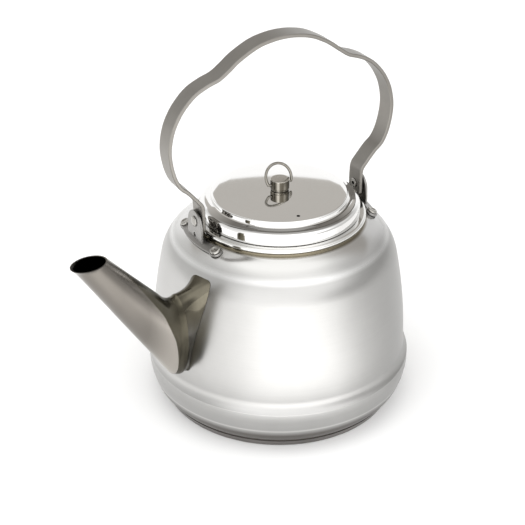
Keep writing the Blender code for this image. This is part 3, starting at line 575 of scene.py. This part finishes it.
def body_profile():
    """The body's outside, from the seam over the pan, round the bulge and up to the neck."""
    low, foot_rise, roundness = BASE_BAND_HEIGHT + SEAT_GAP, 1.0, 2 / 1.65
    rise, spread = BULGE_LOW - low - foot_rise, BULGE_RADIUS - BASE_RADIUS
    points = [(BASE_RADIUS, low)]
    for a in (math.radians(degrees) for degrees in range(0, 91, 6)):
        points.append((BASE_RADIUS + spread * math.sin(a) ** roundness,
                       low + foot_rise + rise * (1 - math.cos(a) ** roundness)))
    rim = 0.9
    points += arc(BULGE_RADIUS - rim - 0.1, BULGE_HIGH + 1.5, rim, 4, 50, 6)
    start_r, start_z = points[-1]
    flare_top, flare_power, flare_steps = WALL_FOOT + 5.0, 2.3, 12
    for t in (i / flare_steps for i in range(1, flare_steps)):
        points.append((start_r + (wall_radius(flare_top) - start_r) * (1 - (1 - t) ** flare_power),
                       start_z + (flare_top - start_z) * t))
    heights = [flare_top + (WALL_TOP - flare_top) * i / 20 for i in range(21)]
    points += [(wall_radius(z), z) for z in heights]
    lean, corner_r, corner_z, _, _ = shoulder()
    points += arc(corner_r, corner_z, SHOULDER_CURVE, math.degrees(lean), 66, 26)[1:]
    fillet_r = NECK_RADIUS + NECK_FILLET
    start_r = fillet_r - NECK_FILLET * math.sin(SHOULDER_SLOPE)
    for share in (0.35, 0.7):
        r = points[-1][0] + (start_r - points[-1][0]) * share
        points.append((r, slope_height(r)))
    fillet_z = slope_height(start_r) + NECK_FILLET * math.cos(SHOULDER_SLOPE)
    points += arc(fillet_r, fillet_z, NECK_FILLET, 246, 180, 6)
    points.append((NECK_RADIUS, NECK_TOP))
    return points


def make_body():
    outer = body_profile()
    body = turned("kettle_body", outer + offset(outer, SHEET)[::-1], BODY_STEPS)
    for hole in strainer_holes():
        way = Vector((-math.cos(SPOUT_TURN), -math.sin(SPOUT_TURN), 0)) * 5
        drill(body, hole - way, hole + way, STRAINER_HOLE)
    for side in (-1, 1):
        for end in (-1, 1):
            drill_rivet_hole(body, side, end)
    shaded(body)
    body.data.materials.append(body_steel())
    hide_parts("body_shell")
    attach(body, "kettle")


def make_base():
    """The pan: flat underside, foot band, and a rim that stands up inside the body."""
    inner = BASE_RADIUS - SHEET - SEAT_GAP
    slant = (BASE_RADIUS - BASE_FOOT_RADIUS) / BASE_BAND_HEIGHT
    foot_edge, band_edge, rim_top, floor_top, floor_curve = 0.9, 0.5, 9.5, 1.2, 1.5
    outline = [(0.0, 0.0), (30.0, 0.0), (60.0, 0.0), (BASE_FOOT_RADIUS - foot_edge, 0.0)]
    outline += arc(BASE_FOOT_RADIUS - foot_edge, foot_edge, foot_edge, -80, 0, 5)
    outline += [(BASE_FOOT_RADIUS + slant * (BASE_BAND_HEIGHT - band_edge), BASE_BAND_HEIGHT - band_edge),
                (BASE_RADIUS - band_edge, BASE_BAND_HEIGHT), (inner, BASE_BAND_HEIGHT), (inner, rim_top),
                (inner - SHEET, rim_top), (inner - SHEET, 2.7)]
    outline += arc(inner - SHEET - floor_curve, 2.7, floor_curve, 0, -90, 6)[1:]
    outline += [(40.0, floor_top), (0.0, floor_top)]
    pan = turned("base_plate", outline, BODY_STEPS)
    pan.data.materials.append(base_steel())
    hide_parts("base_pan")
    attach(pan, "kettle")


def make_neck_ring():
    """The bead on the neck, with a spigot that drops into it."""
    half = (RING_TOP - RING_LOW) / 2
    spigot = NECK_RADIUS - SHEET - SEAT_GAP
    outline = [(RING_THROAT, RING_TOP), (BEAD_RADIUS - half, RING_TOP)]
    outline += arc(BEAD_RADIUS - half, RING_LOW + half, half, 90, -90, 14)[1:]
    outline += [(spigot, RING_LOW), (spigot, RING_LOW - SPIGOT_DEPTH),
                (spigot - SPIGOT_WALL, RING_LOW - SPIGOT_DEPTH),
                (spigot - SPIGOT_WALL, RING_LOW + SPIGOT_WALL), (RING_THROAT, RING_LOW + SPIGOT_WALL)]
    ring = turned("neck_bead", outline[::-1], BODY_STEPS)
    ring.data.materials.append(lathe_brushed("mirror_steel", BEAD_TONES, 0.05, 0.09, 0.015).material)
    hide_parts("neck_ring")
    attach(ring, "kettle")


def lid_profile():
    """The lid's outside: skirt, rounded edge, ledge and low-crowned plateau."""
    ledge = LID_EDGE + LID_LEDGE_HEIGHT
    plateau = ledge + 0.8 + PLATEAU_STEP
    edge, brow = 4, 1.6
    points = [(LID_RADIUS - 0.25, LID_EDGE), (LID_RADIUS, LID_EDGE + 0.3), (LID_RADIUS, LID_EDGE + 2.5)]
    points += arc(LID_RADIUS - edge, ledge - edge, edge, 0, 88, 14)
    points += [(LID_LEDGE_RADIUS + 1.4, ledge + 0.12), (LID_LEDGE_RADIUS + 0.4, ledge + 0.3),
               (LID_LEDGE_RADIUS - 0.4, ledge + 0.55), (PLATEAU_RADIUS + 0.25, ledge + 0.8),
               (PLATEAU_RADIUS, ledge + 1.4)]
    points += arc(PLATEAU_RADIUS - brow, plateau - brow, brow, 8, 84, 8)
    points += [(PLATEAU_RADIUS * share, plateau + PLATEAU_CROWN * (1 - share ** 2))
               for share in (0.9, 0.8, 0.65, 0.5, 0.35, 0.2)]
    points.append((KNOB_BORE, LID_TOP))
    return points


def make_lid():
    outer = lid_profile()
    lid = turned("lid_shell", outer + offset(outer, SHEET)[::-1], BODY_STEPS)
    reach = PLATEAU_RADIUS - VENT_INSET
    x, y = -reach * math.sin(VENT_TURN), -reach * math.cos(VENT_TURN)
    drill(lid, (x, y, LID_EDGE), (x, y, LID_TOP + 5), VENT_HOLE)
    shaded(lid)
    lid.data.materials.append(lid_steel())
    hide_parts("lid_cover")
    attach(lid, "lid")


def make_lid_guide():
    """The ring inside the lid, with a flange under the ledge."""
    low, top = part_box("lid_guide")[0].z / MM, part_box("lid_guide")[1].z / MM
    bend, inner_bend, flange = 1.2, 1.6, 5.0
    outline = [(GUIDE_RADIUS, low), (GUIDE_RADIUS, top - bend)]
    outline += arc(GUIDE_RADIUS - bend, top - bend, bend, 0, 90, 5)[1:]
    outline += [(GUIDE_RADIUS - flange, top), (GUIDE_RADIUS - flange, top - SHEET),
                (GUIDE_RADIUS - inner_bend, top - SHEET), (GUIDE_RADIUS - SHEET, top - inner_bend),
                (GUIDE_RADIUS - SHEET, low)]
    guide = turned("lid_seat", outline, GUIDE_STEPS)
    guide.data.materials.append(dull_steel())
    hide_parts("lid_guide")
    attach(guide, "lid")


def make_knob():
    """The barrel, with a blind bore for the screw and two side holes for the wire ring."""
    waist_curve, top_curve, bore_top = 0.45, 0.6, KNOB_BASE + 2.6
    outline = [(KNOB_BORE, KNOB_BASE), (KNOB_WAIST, KNOB_BASE), (KNOB_WAIST + 0.1, KNOB_BASE + 0.9)]
    outline += arc(KNOB_RADIUS - waist_curve, KNOB_BASE + 1.6, waist_curve, -50, 0, 4)
    outline += arc(KNOB_RADIUS - top_curve, KNOB_TOP - top_curve, top_curve, 0, 80, 5)
    outline += [(KNOB_RADIUS - 1.4, KNOB_TOP - 0.04), (3.0, KNOB_TOP), (0.0, KNOB_TOP),
                (0.0, bore_top), (KNOB_BORE, bore_top)]
    knob = turned("knob_barrel", outline, KNOB_STEPS)
    for side in (-1, 1):
        drill(knob, (side * 13.2, 0, WIRE_AXIS), (side * 4.0, 0, WIRE_AXIS), WIRE_HOLE, 24)
    shaded(knob)
    knob.data.materials.append(knob_steel())
    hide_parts("lid_knob")
    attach(knob, "lid")


def make_knob_screw():
    """The slotted screw that holds the knob from inside the lid."""
    low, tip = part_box("knob_screw")[0].z / MM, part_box("knob_screw")[1].z / MM
    shank, head, under = 2.0, 3.8, low + 2.2
    outline = [(0.0, low), (2.0, low + 0.05)] + arc(2.4, low + 1.4, 1.4, -80, 0, 6)
    outline += [(head, under), (shank, under), (shank, tip), (0.0, tip)]
    screw = turned("knob_screw_head", outline, RIVET_STEPS)
    deselect()
    bpy.ops.mesh.primitive_cube_add(size=1, location=(0, 0, low * MM), scale=(0.010, 0.0009, 0.0014))
    combine(screw, bpy.context.active_object, "DIFFERENCE")
    shaded(screw)
    screw.data.materials.append(dull_steel())
    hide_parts("knob_screw")
    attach(screw, "lid")


def make_knob_washer():
    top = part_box("knob_washer")[1].z / MM
    outline = [(KNOB_BORE, top - 0.8), (5.3, top - 0.8), (5.5, top - 0.6), (5.5, top - 0.1),
               (5.4, top), (KNOB_BORE, top)]
    washer = turned("knob_washer_disc", outline, PIVOT_STEPS)
    washer.data.materials.append(dull_steel())
    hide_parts("knob_washer")
    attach(washer, "lid")


def make_wire():
    """The wire ring, leaning back from its two holes in the knob."""
    start = math.acos(WIRE_RISE / WIRE_LOOP)
    loop, steps = [], 48
    for i in range(steps + 1):
        angle = start + (math.tau - 2 * start) * i / steps
        up = WIRE_RISE - WIRE_LOOP * math.cos(angle)
        loop.append(Vector((-WIRE_LOOP * math.sin(angle), up * math.sin(WIRE_LEAN),
                            WIRE_AXIS + up * math.cos(WIRE_LEAN))))
    hook = -loop[0].x
    ends = [Vector((x, 0, WIRE_AXIS)) for x in (4.5, hook - 1.4, hook - 0.5)]
    path = [Vector((-p.x, 0, WIRE_AXIS)) for p in ends] + loop + ends[::-1]
    level = Vector((0, math.cos(WIRE_LEAN), -math.sin(WIRE_LEAN)))
    rings, sides = [], 20
    for i, point in enumerate(path):
        along = direction_at(path, i)
        across = along.cross(level).normalized()
        other = along.cross(across)
        rings.append([point + WIRE_RADIUS * (across * math.cos(a) + other * math.sin(a))
                      for a in (math.tau * k / sides for k in range(sides))])
    wire = mesh_of_rings("knob_wire_ring", rings)
    wire.data.materials.append(rivet_steel("wire_steel", WIRE_TONES))
    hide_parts("lid_ring")
    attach(wire, "wire_ring")


def handle_path():
    """The strap's middle line, from its end below one pivot over the top to the other."""
    half = [(PIVOT_HALF_SPAN, PIVOT_HEIGHT - 7.4), (PIVOT_HALF_SPAN, PIVOT_HEIGHT)]
    half += [(PIVOT_HALF_SPAN + (HANDLE_SPREAD - PIVOT_HALF_SPAN) * x, PIVOT_HEIGHT + HANDLE_RISE * z)
             for x, z in HANDLE_LEG]
    half += [(HANDLE_SPREAD * x, PIVOT_HEIGHT + HANDLE_RISE * z) for x, z in HANDLE_ARCH]
    top = (0.0, PIVOT_HEIGHT + HANDLE_RISE)
    return smooth_through([(-x, z) for x, z in half] + [top] + half[::-1], 7)


def make_handle():
    """The strap: a flat bar with softened edges and rounded ends, along the bent line."""
    path = handle_path()
    rings = []
    thick, edge = STRAP_HALF_THICK, STRAP_EDGE
    for i, point in enumerate(path):
        along = direction_at(path, i)
        out = Vector((-along.y, along.x))
        from_end = min((point - path[0]).length, (point - path[-1]).length)
        half = STRAP_HALF_WIDE
        if from_end < STRAP_END:
            round_end = math.sqrt(max(STRAP_END ** 2 - (STRAP_END - from_end) ** 2, 0.0))
            half = STRAP_HALF_WIDE - STRAP_END + round_end
        corners = ((-thick, -half + edge), (-thick + edge, -half), (thick - edge, -half),
                   (thick, -half + edge), (thick, half - edge), (thick - edge, half),
                   (-thick + edge, half), (-thick, half - edge))
        rings.append([(point.x + out.x * s, y, point.y + out.y * s) for s, y in corners])
    strap = mesh_of_rings("handle_bow", rings)
    for side in (-1, 1):
        drill(strap, (side * (PIVOT_HALF_SPAN - 4), 0, PIVOT_HEIGHT),
              (side * (PIVOT_HALF_SPAN + 4), 0, PIVOT_HEIGHT), PIVOT_HOLE)
    shaded(strap)
    strap.data.materials.append(strap_steel("strap_steel", STRAP_TONES))
    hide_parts("handle_strap")
    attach(strap, "handle")


def slope_point(azimuth, slant, lift):
    """A point by an ear's foot: down the shoulder's slope and off it, in millimetres."""
    foot = EAR_INNER + EAR_SHEET / 2
    r = foot + slant * math.cos(SHOULDER_SLOPE) + lift * math.sin(SHOULDER_SLOPE)
    z = slope_height(foot) - slant * math.sin(SHOULDER_SLOPE) + lift * math.cos(SHOULDER_SLOPE)
    return Vector((r * math.cos(azimuth), r * math.sin(azimuth), z))


def rivet_place(side, end):
    """Where a foot rivet stands on the slope, and the way it points."""
    azimuth = end * EAR_ANGLE + (math.pi if side < 0 else 0.0)
    where = slope_point(azimuth, 0.0, 0.0)
    return where, (slope_point(azimuth, 0.0, 1.0) - where).normalized()


def drill_rivet_hole(piece, side, end):
    where, normal = rivet_place(side, end)
    drill(piece, where - normal * 4, where + normal * 4, RIVET_HOLE)


def make_ear(place, side):
    """The upright plate and the curved foot strap with its two round lobes, joined and drilled."""
    turn = math.pi if side < 0 else 0.0
    foot = EAR_INNER + EAR_SHEET / 2
    limit = EAR_ANGLE + EAR_LOBE / foot * 0.985
    under, over, steps = 0.3, 1.8, 96
    rings = []
    for i in range(steps + 1):
        azimuth = -limit + 2 * limit * (1 - math.cos(math.pi * i / steps)) / 2
        past = (abs(azimuth) - EAR_ANGLE) * foot
        round_half = math.sqrt(max(EAR_LOBE ** 2 - past ** 2, 0.0))
        half = round_half if past > 0 else max(EAR_FOOT_HALF, round_half)
        edge = min(0.3, half * 0.4)
        corners = ((-half, under), (half, under), (half, over - edge), (half - edge, over),
                   (-half + edge, over), (-half, over - edge))
        rings.append([slope_point(azimuth + turn, slant, lift) for slant, lift in corners])
    ear = mesh_of_rings("ear_bracket_" + place, rings)

    low = slope_height(foot) + 0.3 + EAR_SHEET * 0.6
    centre, radius = PIVOT_HEIGHT - 2.5, 9.8
    angles = [math.pi * k / 32 for k in range(-16, 17)]
    outline = [(radius * math.sin(a), centre + radius * math.cos(a)) for a in angles]
    outline += [(10.05, low + 6), (10.2, low), (-10.2, low), (-10.05, low + 6)]
    inset = [(y * 0.97, z - 0.25 if z > centre else z) for y, z in outline]
    near, far, edge = side * EAR_INNER, side * (EAR_INNER + EAR_SHEET), side * 0.3
    layers = ((near, inset), (near + edge, outline), (far - edge, outline), (far, inset))
    plate = mesh_of_rings("ear_upright", [[(x, y, z) for y, z in line] for x, line in layers])
    combine(ear, plate, "UNION")
    for end in (-1, 1):
        drill_rivet_hole(ear, side, end)
    for drop, hole in ((0.0, PIVOT_HOLE), (9.6, EAR_SPARE_HOLE)):
        z = PIVOT_HEIGHT - drop
        drill(ear, (side * (EAR_INNER - 2), 0, z), (side * (EAR_INNER + EAR_SHEET + 2), 0, z), hole)
    shaded(ear)
    ear.data.materials.append(ear_steel)
    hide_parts("ear_" + place)
    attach(ear, "kettle")


def flat_head(radius, height, base):
    """A pressed rivet head: rolled edge, flat ring and a shallow dish in the middle."""
    shares = ((1.0, 0.0), (1.0, 0.35), (0.94, 0.7), (0.80, 0.95), (0.68, 1.0), (0.52, 0.9),
              (0.36, 0.7), (0.0, 0.62))
    return [(radius * out, base + height * up) for out, up in shares]


def make_foot_rivet(name, side, end):
    outside, inside, shank = 2.1, -1.4, 1.9
    outline = [(0.0, inside - 0.9), (2.85, inside - 0.9), (3.15, inside - 0.6), (3.15, inside),
               (shank, inside), (shank, outside)] + flat_head(3.5, 1.4, outside)
    rivet = turned(name.replace("ear_rivet", "foot_rivet"), outline, RIVET_STEPS)
    where, normal = rivet_place(side, end)
    point_along(rivet, where, normal)
    rivet.data.materials.append(rivet_finish)
    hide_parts(name)
    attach(rivet, "kettle")


def make_pivot(place, side):
    """The tubular rivet that the handle turns on, and the washer on it."""
    outside, inside = EAR_INNER + EAR_SHEET + 0.3, PIVOT_HALF_SPAN - 1.5
    shank, bore, bore_top, head, dome = 2.15, 1.3, outside - 0.8, 3.6, 1.2
    outline = [(bore, bore_top), (bore, inside - 0.45), (1.5, inside - 0.6), (2.9, inside - 0.6),
               (3.3, inside - 0.3), (3.3, inside), (shank, inside), (shank, outside)]
    outline += [(head * math.cos(a), outside + dome * math.sin(a))
                for a in (math.radians(k) for k in (0, 12, 24, 36, 48, 60, 72, 82))]
    outline += [(0.0, outside + dome), (0.0, bore_top)]
    rivet = turned("hinge_rivet_" + place, outline, PIVOT_STEPS)
    point_along(rivet, (0, 0, PIVOT_HEIGHT), (side, 0, 0))
    rivet.data.materials.append(rivet_finish)
    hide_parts("pivot_rivet_" + place)
    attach(rivet, "kettle")

    low = PIVOT_HALF_SPAN + 1.5
    outline = [(PIVOT_HOLE, low), (5.1, low), (5.2, low + 0.1), (5.2, low + 0.3), (5.1, low + 0.4),
               (PIVOT_HOLE, low + 0.4)]
    washer = turned("hinge_washer_" + place, outline, PIVOT_STEPS)
    point_along(washer, (0, 0, PIVOT_HEIGHT), (side, 0, 0))
    washer.data.materials.append(rivet_finish)
    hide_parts("pivot_washer_" + place)
    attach(washer, "kettle")


def spout_point(reach, across, z):
    c, s = math.cos(SPOUT_TURN), math.sin(SPOUT_TURN)
    return Vector((-c * reach - s * across, -s * reach + c * across, z))


def strainer_holes():
    """Middles of the holes behind the collar, in rows of one and two."""
    rows = ((0,), (0,), (-0.5, 0.5), (0,), (-0.5, 0.5), (0,))
    holes = []
    for row, columns in enumerate(rows):
        z = WALL_TOP + 0.9 - STRAINER_PITCH * (len(rows) - 1 - row)
        shift = -COLLAR_LEAN * (z - COLLAR_LOW) / (COLLAR_HIGH - COLLAR_LOW)
        holes += [spout_point(body_radius(z) - SHEET / 2, shift + column * STRAINER_PITCH, z)
                  for column in columns]
    return holes


def spout_sections():
    """Top point, bottom point and half width from the seam to the mouth."""
    throat_top = Vector((SEAM_REACH + 11, SEAM_HIGH + 3))
    throat_low = Vector((SEAM_REACH + 7.5, SEAM_LOW + 4.5))
    mouth_top = Vector((SEAM_REACH + 54.5, SEAM_HIGH + 49))
    mouth_low = Vector((SEAM_REACH + 78, SEAM_HIGH + 49))
    throat_half, pipe_end_half = SEAM_HALF - 0.4, 8.6
    rows = [
        ((SEAM_REACH, SEAM_HIGH), (SEAM_REACH, SEAM_LOW), SEAM_HALF),
        ((SEAM_REACH + 2.5, SEAM_HIGH - 0.6), (SEAM_REACH + 2.2, SEAM_LOW + 0.6), SEAM_HALF - 0.2),
        ((SEAM_REACH + 6.0, SEAM_HIGH), (SEAM_REACH + 5.0, SEAM_LOW + 2.2), throat_half),
    ]
    for share in (0.0, 0.15, 0.4, 0.7, 0.95):
        rows.append((throat_top.lerp(mouth_top, share), throat_low.lerp(mouth_low, share),
                     throat_half + (pipe_end_half - throat_half) * share))
    rows.append((mouth_top, mouth_low + Vector((0.95, 0.0)), MOUTH_HALF))
    tops = smooth_through([top for top, _, _ in rows], 5)
    lows = smooth_through([low for _, low, _ in rows], 5)
    halves = [p.x for p in smooth_through([(half, 0.0) for _, _, half in rows], 5)]
    return list(zip(tops, lows, halves))


def oval(top, low, half_width, inset=0.0):
    """A ring of the spout."""
    centre, half = (top + low) / 2, (top - low) / 2
    half = half * ((half.length - inset) / half.length)
    ring = []
    for i in range(OVAL_SIDES):
        angle = math.tau * i / OVAL_SIDES
        at = centre + half * math.cos(angle)
        ring.append(spout_point(at.x, (half_width - inset) * math.sin(angle), at.y))
    return ring


def make_spout():
    """The pipe, each point marked with how far it lies inside the painted dark reflection along its
    crest.
    """
    rows = spout_sections()
    outer = [oval(*row) for row in rows]
    inner = [oval(*row, inset=SPOUT_WALL) for row in rows]
    tube = mesh_of_rings("spout_pipe", outer + inner[::-1], around=True)
    values = []
    for top, low, _ in rows:
        share = max((top.x + low.x) / 2 - SEAM_REACH, 0.0) / 66.0
        edge = next(a + (b - a) * (share - start) / (end - start)
                    for (start, a), (end, b) in zip(CREST_REFLECTION_EDGE, CREST_REFLECTION_EDGE[1:]) if share <= end)
        for i in range(OVAL_SIDES):
            down = abs((360.0 * i / OVAL_SIDES + 180.0) % 360.0 - 180.0)
            values.append(min(max(0.5 + (edge - down) / 60.0, 0.1), 1.0))
    values += [0.0] * (OVAL_SIDES * len(inner))
    crest = tube.data.attributes.new("crest", "FLOAT", "POINT")
    crest.data.foreach_set("value", values)
    tube.data.materials.append(spout_steel())
    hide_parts("spout_tube")
    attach(tube, "kettle")


def collar_ring(share, inset):
    """A ring of the collar, from the seam at share 0 to the body's face at share 1."""
    seam_mid, seam_half = (SEAM_HIGH + SEAM_LOW) / 2, (SEAM_HIGH - SEAM_LOW) / 2 - inset
    wall_mid, wall_half = (COLLAR_HIGH + COLLAR_LOW) / 2, (COLLAR_HIGH - COLLAR_LOW) / 2 - inset
    waist = 1.0 - 0.10 * math.sin(math.pi * share)
    reach = SEAM_REACH - 0.05
    ring = []
    for i in range(OVAL_SIDES):
        angle = math.tau * i / OVAL_SIDES
        up = (1 + math.cos(angle)) / 2
        width = 1.2 + 10.8 * up ** 1.35
        side = math.copysign(abs(math.sin(angle)) ** (0.35 + 0.65 * (1 - share)), math.sin(angle))
        if i % (OVAL_SIDES // 2) == 0:
            side = 0.0
        wall_across = width * side * (1 - inset / width * 0.8) - COLLAR_LEAN * up
        wall_z = wall_mid + wall_half * math.cos(angle)
        wall_reach = math.sqrt((body_radius(wall_z) + 0.3) ** 2 - wall_across ** 2)
        seam_across = (SEAM_HALF - inset) * math.sin(angle)
        seam_z = seam_mid + seam_half * math.cos(angle)
        ring.append(spout_point(reach + (wall_reach - reach) * share,
                                (seam_across + (wall_across - seam_across) * share) * waist,
                                seam_z + (wall_z - seam_z) * share ** 2.2))
    return ring


def make_collar():
    steps = 16
    outer = [collar_ring(i / steps, 0.0) for i in range(steps + 1)]
    inner = [collar_ring(i / steps, SPOUT_WALL) for i in range(steps + 1)]
    collar = mesh_of_rings("spout_socket", outer + inner[::-1], around=True)
    shaded(collar, 62)
    collar.data.materials.append(collar_steel())
    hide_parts("spout_collar")
    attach(collar, "kettle")


def painted_table_light(g):
    """How brightly the table glows: a painted pool of light in a fan in front of the kettle, from just
    outside its base.
    """
    place = g.node("TexCoord").outputs["Object"]
    flat = g.node("VectorMath", [(0, place), (1, (1, 1, 0))], operation="MULTIPLY").outputs[0]
    reach = g.node("VectorMath", [(0, flat)], operation="LENGTH").outputs["Value"]
    way = g.node("VectorMath", [(0, flat)], operation="NORMALIZE").outputs[0]
    angle = g.math("ARCTAN2", g.dot(way, from_camera(1, 0, 0)), g.dot(way, from_camera(0, -1, 0)))
    turn = g.math("MULTIPLY_ADD", angle, 1 / math.tau, 0.5)
    fan = g.ramp(turn, *((0.5 + degrees / 360, value) for degrees, value in TABLE_LIGHT_FAN))
    near = g.step(reach, FAN_START, FAN_FULL, FAN_STRENGTH)
    return g.math("MULTIPLY_ADD", fan, near, TABLE_GLOW)


def make_floor():
    deselect()
    bpy.ops.mesh.primitive_plane_add(size=8, location=(0, 0, -0.0003))
    floor = bpy.context.active_object
    floor.name = "studio_floor"
    material = bpy.data.materials.new("white_table")
    material.use_nodes = True
    g = Graph(material.node_tree)
    shader = g.tree.nodes["Principled BSDF"]
    shader.inputs["Base Color"].default_value = (0.80, 0.80, 0.80, 1)
    shader.inputs["Roughness"].default_value = 0.9
    shader.inputs["Specular IOR Level"].default_value = 0.0
    shader.inputs["Emission Color"].default_value = (1, 1, 1, 1)
    rays = g.node("LightPath").outputs
    seen = g.math("MAXIMUM", rays["Is Camera Ray"], rays["Is Glossy Ray"])
    seen = g.math("MAXIMUM", seen, rays["Is Transmission Ray"])
    # The emission adds the painted pool of light, seen by camera, glossy and transmission rays
    g.tree.links.new(g.times(seen, painted_table_light(g)), shader.inputs["Emission Strength"])
    floor.data.materials.append(material)


def make_room():
    """The room by direction: white above, a grey wall behind over a white table, a bright front."""
    world = bpy.data.worlds.new("studio_room")
    bpy.context.scene.world = world
    world.use_nodes = True
    g = Graph(world.node_tree)
    direction = g.node("TexCoord").outputs["Generated"]
    height = g.node("SeparateXYZ", [(0, direction)]).outputs[2]
    behind, right, left, front = (g.dot(direction, from_camera(*way)) for way in (
        (0, 1, 0), (1, 0, 0), (-1, 0, 0), (math.sin(FRONT_TURN), -math.cos(FRONT_TURN), 0)))
    colour = g.ramp(height, *((at, (value, value, value * 0.99)) for at, value in ROOM_BRIGHTNESS))
    bend = g.math("MINIMUM", g.times(right, right), BACK_BEND_END)
    edge = g.math("MULTIPLY_ADD", bend, -BACK_EDGE_BEND, height)
    over_edge = g.times(g.step(edge, BACK_EDGE_LOW, BACK_EDGE_HIGH), g.step(height, 0.968, 0.948))
    under_edge = g.step(edge, BACK_EDGE_HIGH, BACK_EDGE_LOW)
    low = g.step(height, 0.5, 0.2)
    for where, rest, tone in ((g.step(behind, 0.15, 0.55), over_edge, BACK_WALL),
                              (g.step(behind, 0.6, 0.8), under_edge, BACK_TABLE),
                              (g.step(front, 0.1, 0.75), g.step(height, 0.95, 0.85), FRONT_WALL),
                              (g.step(right, 0.45, 0.9), low, RIGHT_WALL),
                              (g.step(left, 0.45, 0.9), low, LEFT_WALL)):
        colour = g.blend(g.times(where, rest), colour, tone)
    sky = g.tree.nodes["Background"]
    g.tree.links.new(colour, sky.inputs["Color"])
    sky.inputs["Strength"].default_value = 1.0


def make_light():
    """A large soft box high on the left, kept out of the steel's reflections."""
    light = bpy.data.lights.new("left_soft_box", "AREA")
    light.shape = "RECTANGLE"
    light.size, light.size_y = 1.2, 1.2
    light.energy = 6
    lamp = bpy.data.objects.new("left_soft_box", light)
    lamp.location = from_camera(-0.9, -0.5, 1.9)
    lamp.rotation_euler = (Vector((0, 0, 0.08)) - lamp.location).to_track_quat("-Z", "Y").to_euler()
    lamp.visible_glossy = False
    bpy.context.scene.collection.objects.link(lamp)


def make_camera():
    camera = bpy.data.cameras.new("photo_camera")
    camera.sensor_width = SENSOR_WIDTH
    camera.lens = FOCAL_PIXELS / PHOTO_PIXELS * SENSOR_WIDTH
    camera.clip_start = 0.05
    holder = bpy.data.objects.new("photo_camera", camera)
    place = from_camera(*CAMERA_PLACE)
    ahead = from_camera(math.sin(CAMERA_PAN) * math.cos(CAMERA_TILT),
                        math.cos(CAMERA_PAN) * math.cos(CAMERA_TILT), -math.sin(CAMERA_TILT))
    right = ahead.cross(Vector((0, 0, 1))).normalized()
    up = right.cross(ahead)
    turn = Matrix.Rotation(-CAMERA_ROLL, 3, ahead)
    right, up = turn @ right, turn @ up
    holder.matrix_world = Matrix((
        (right.x, up.x, -ahead.x, place.x), (right.y, up.y, -ahead.y, place.y),
        (right.z, up.z, -ahead.z, place.z), (0, 0, 0, 1)))
    bpy.context.scene.collection.objects.link(holder)
    bpy.context.scene.camera = holder


make_camera()
ear_steel = strap_steel("ear_steel", EAR_TONES)
rivet_finish = rivet_steel("rivet_steel", RIVET_TONES)
make_body()
make_base()
make_neck_ring()
make_lid()
make_lid_guide()
make_knob()
make_knob_screw()
make_knob_washer()
make_wire()
make_handle()
for place, side in (("front", -1), ("rear", 1)):
    make_ear(place, side)
    make_pivot(place, side)
    for hand, end in (("left", -side), ("right", side)):
        make_foot_rivet(f"ear_rivet_{place}_{hand}", side, end)
make_spout()
make_collar()
make_floor()
make_room()
make_light()

bpy.context.scene.view_settings.view_transform = "Standard"
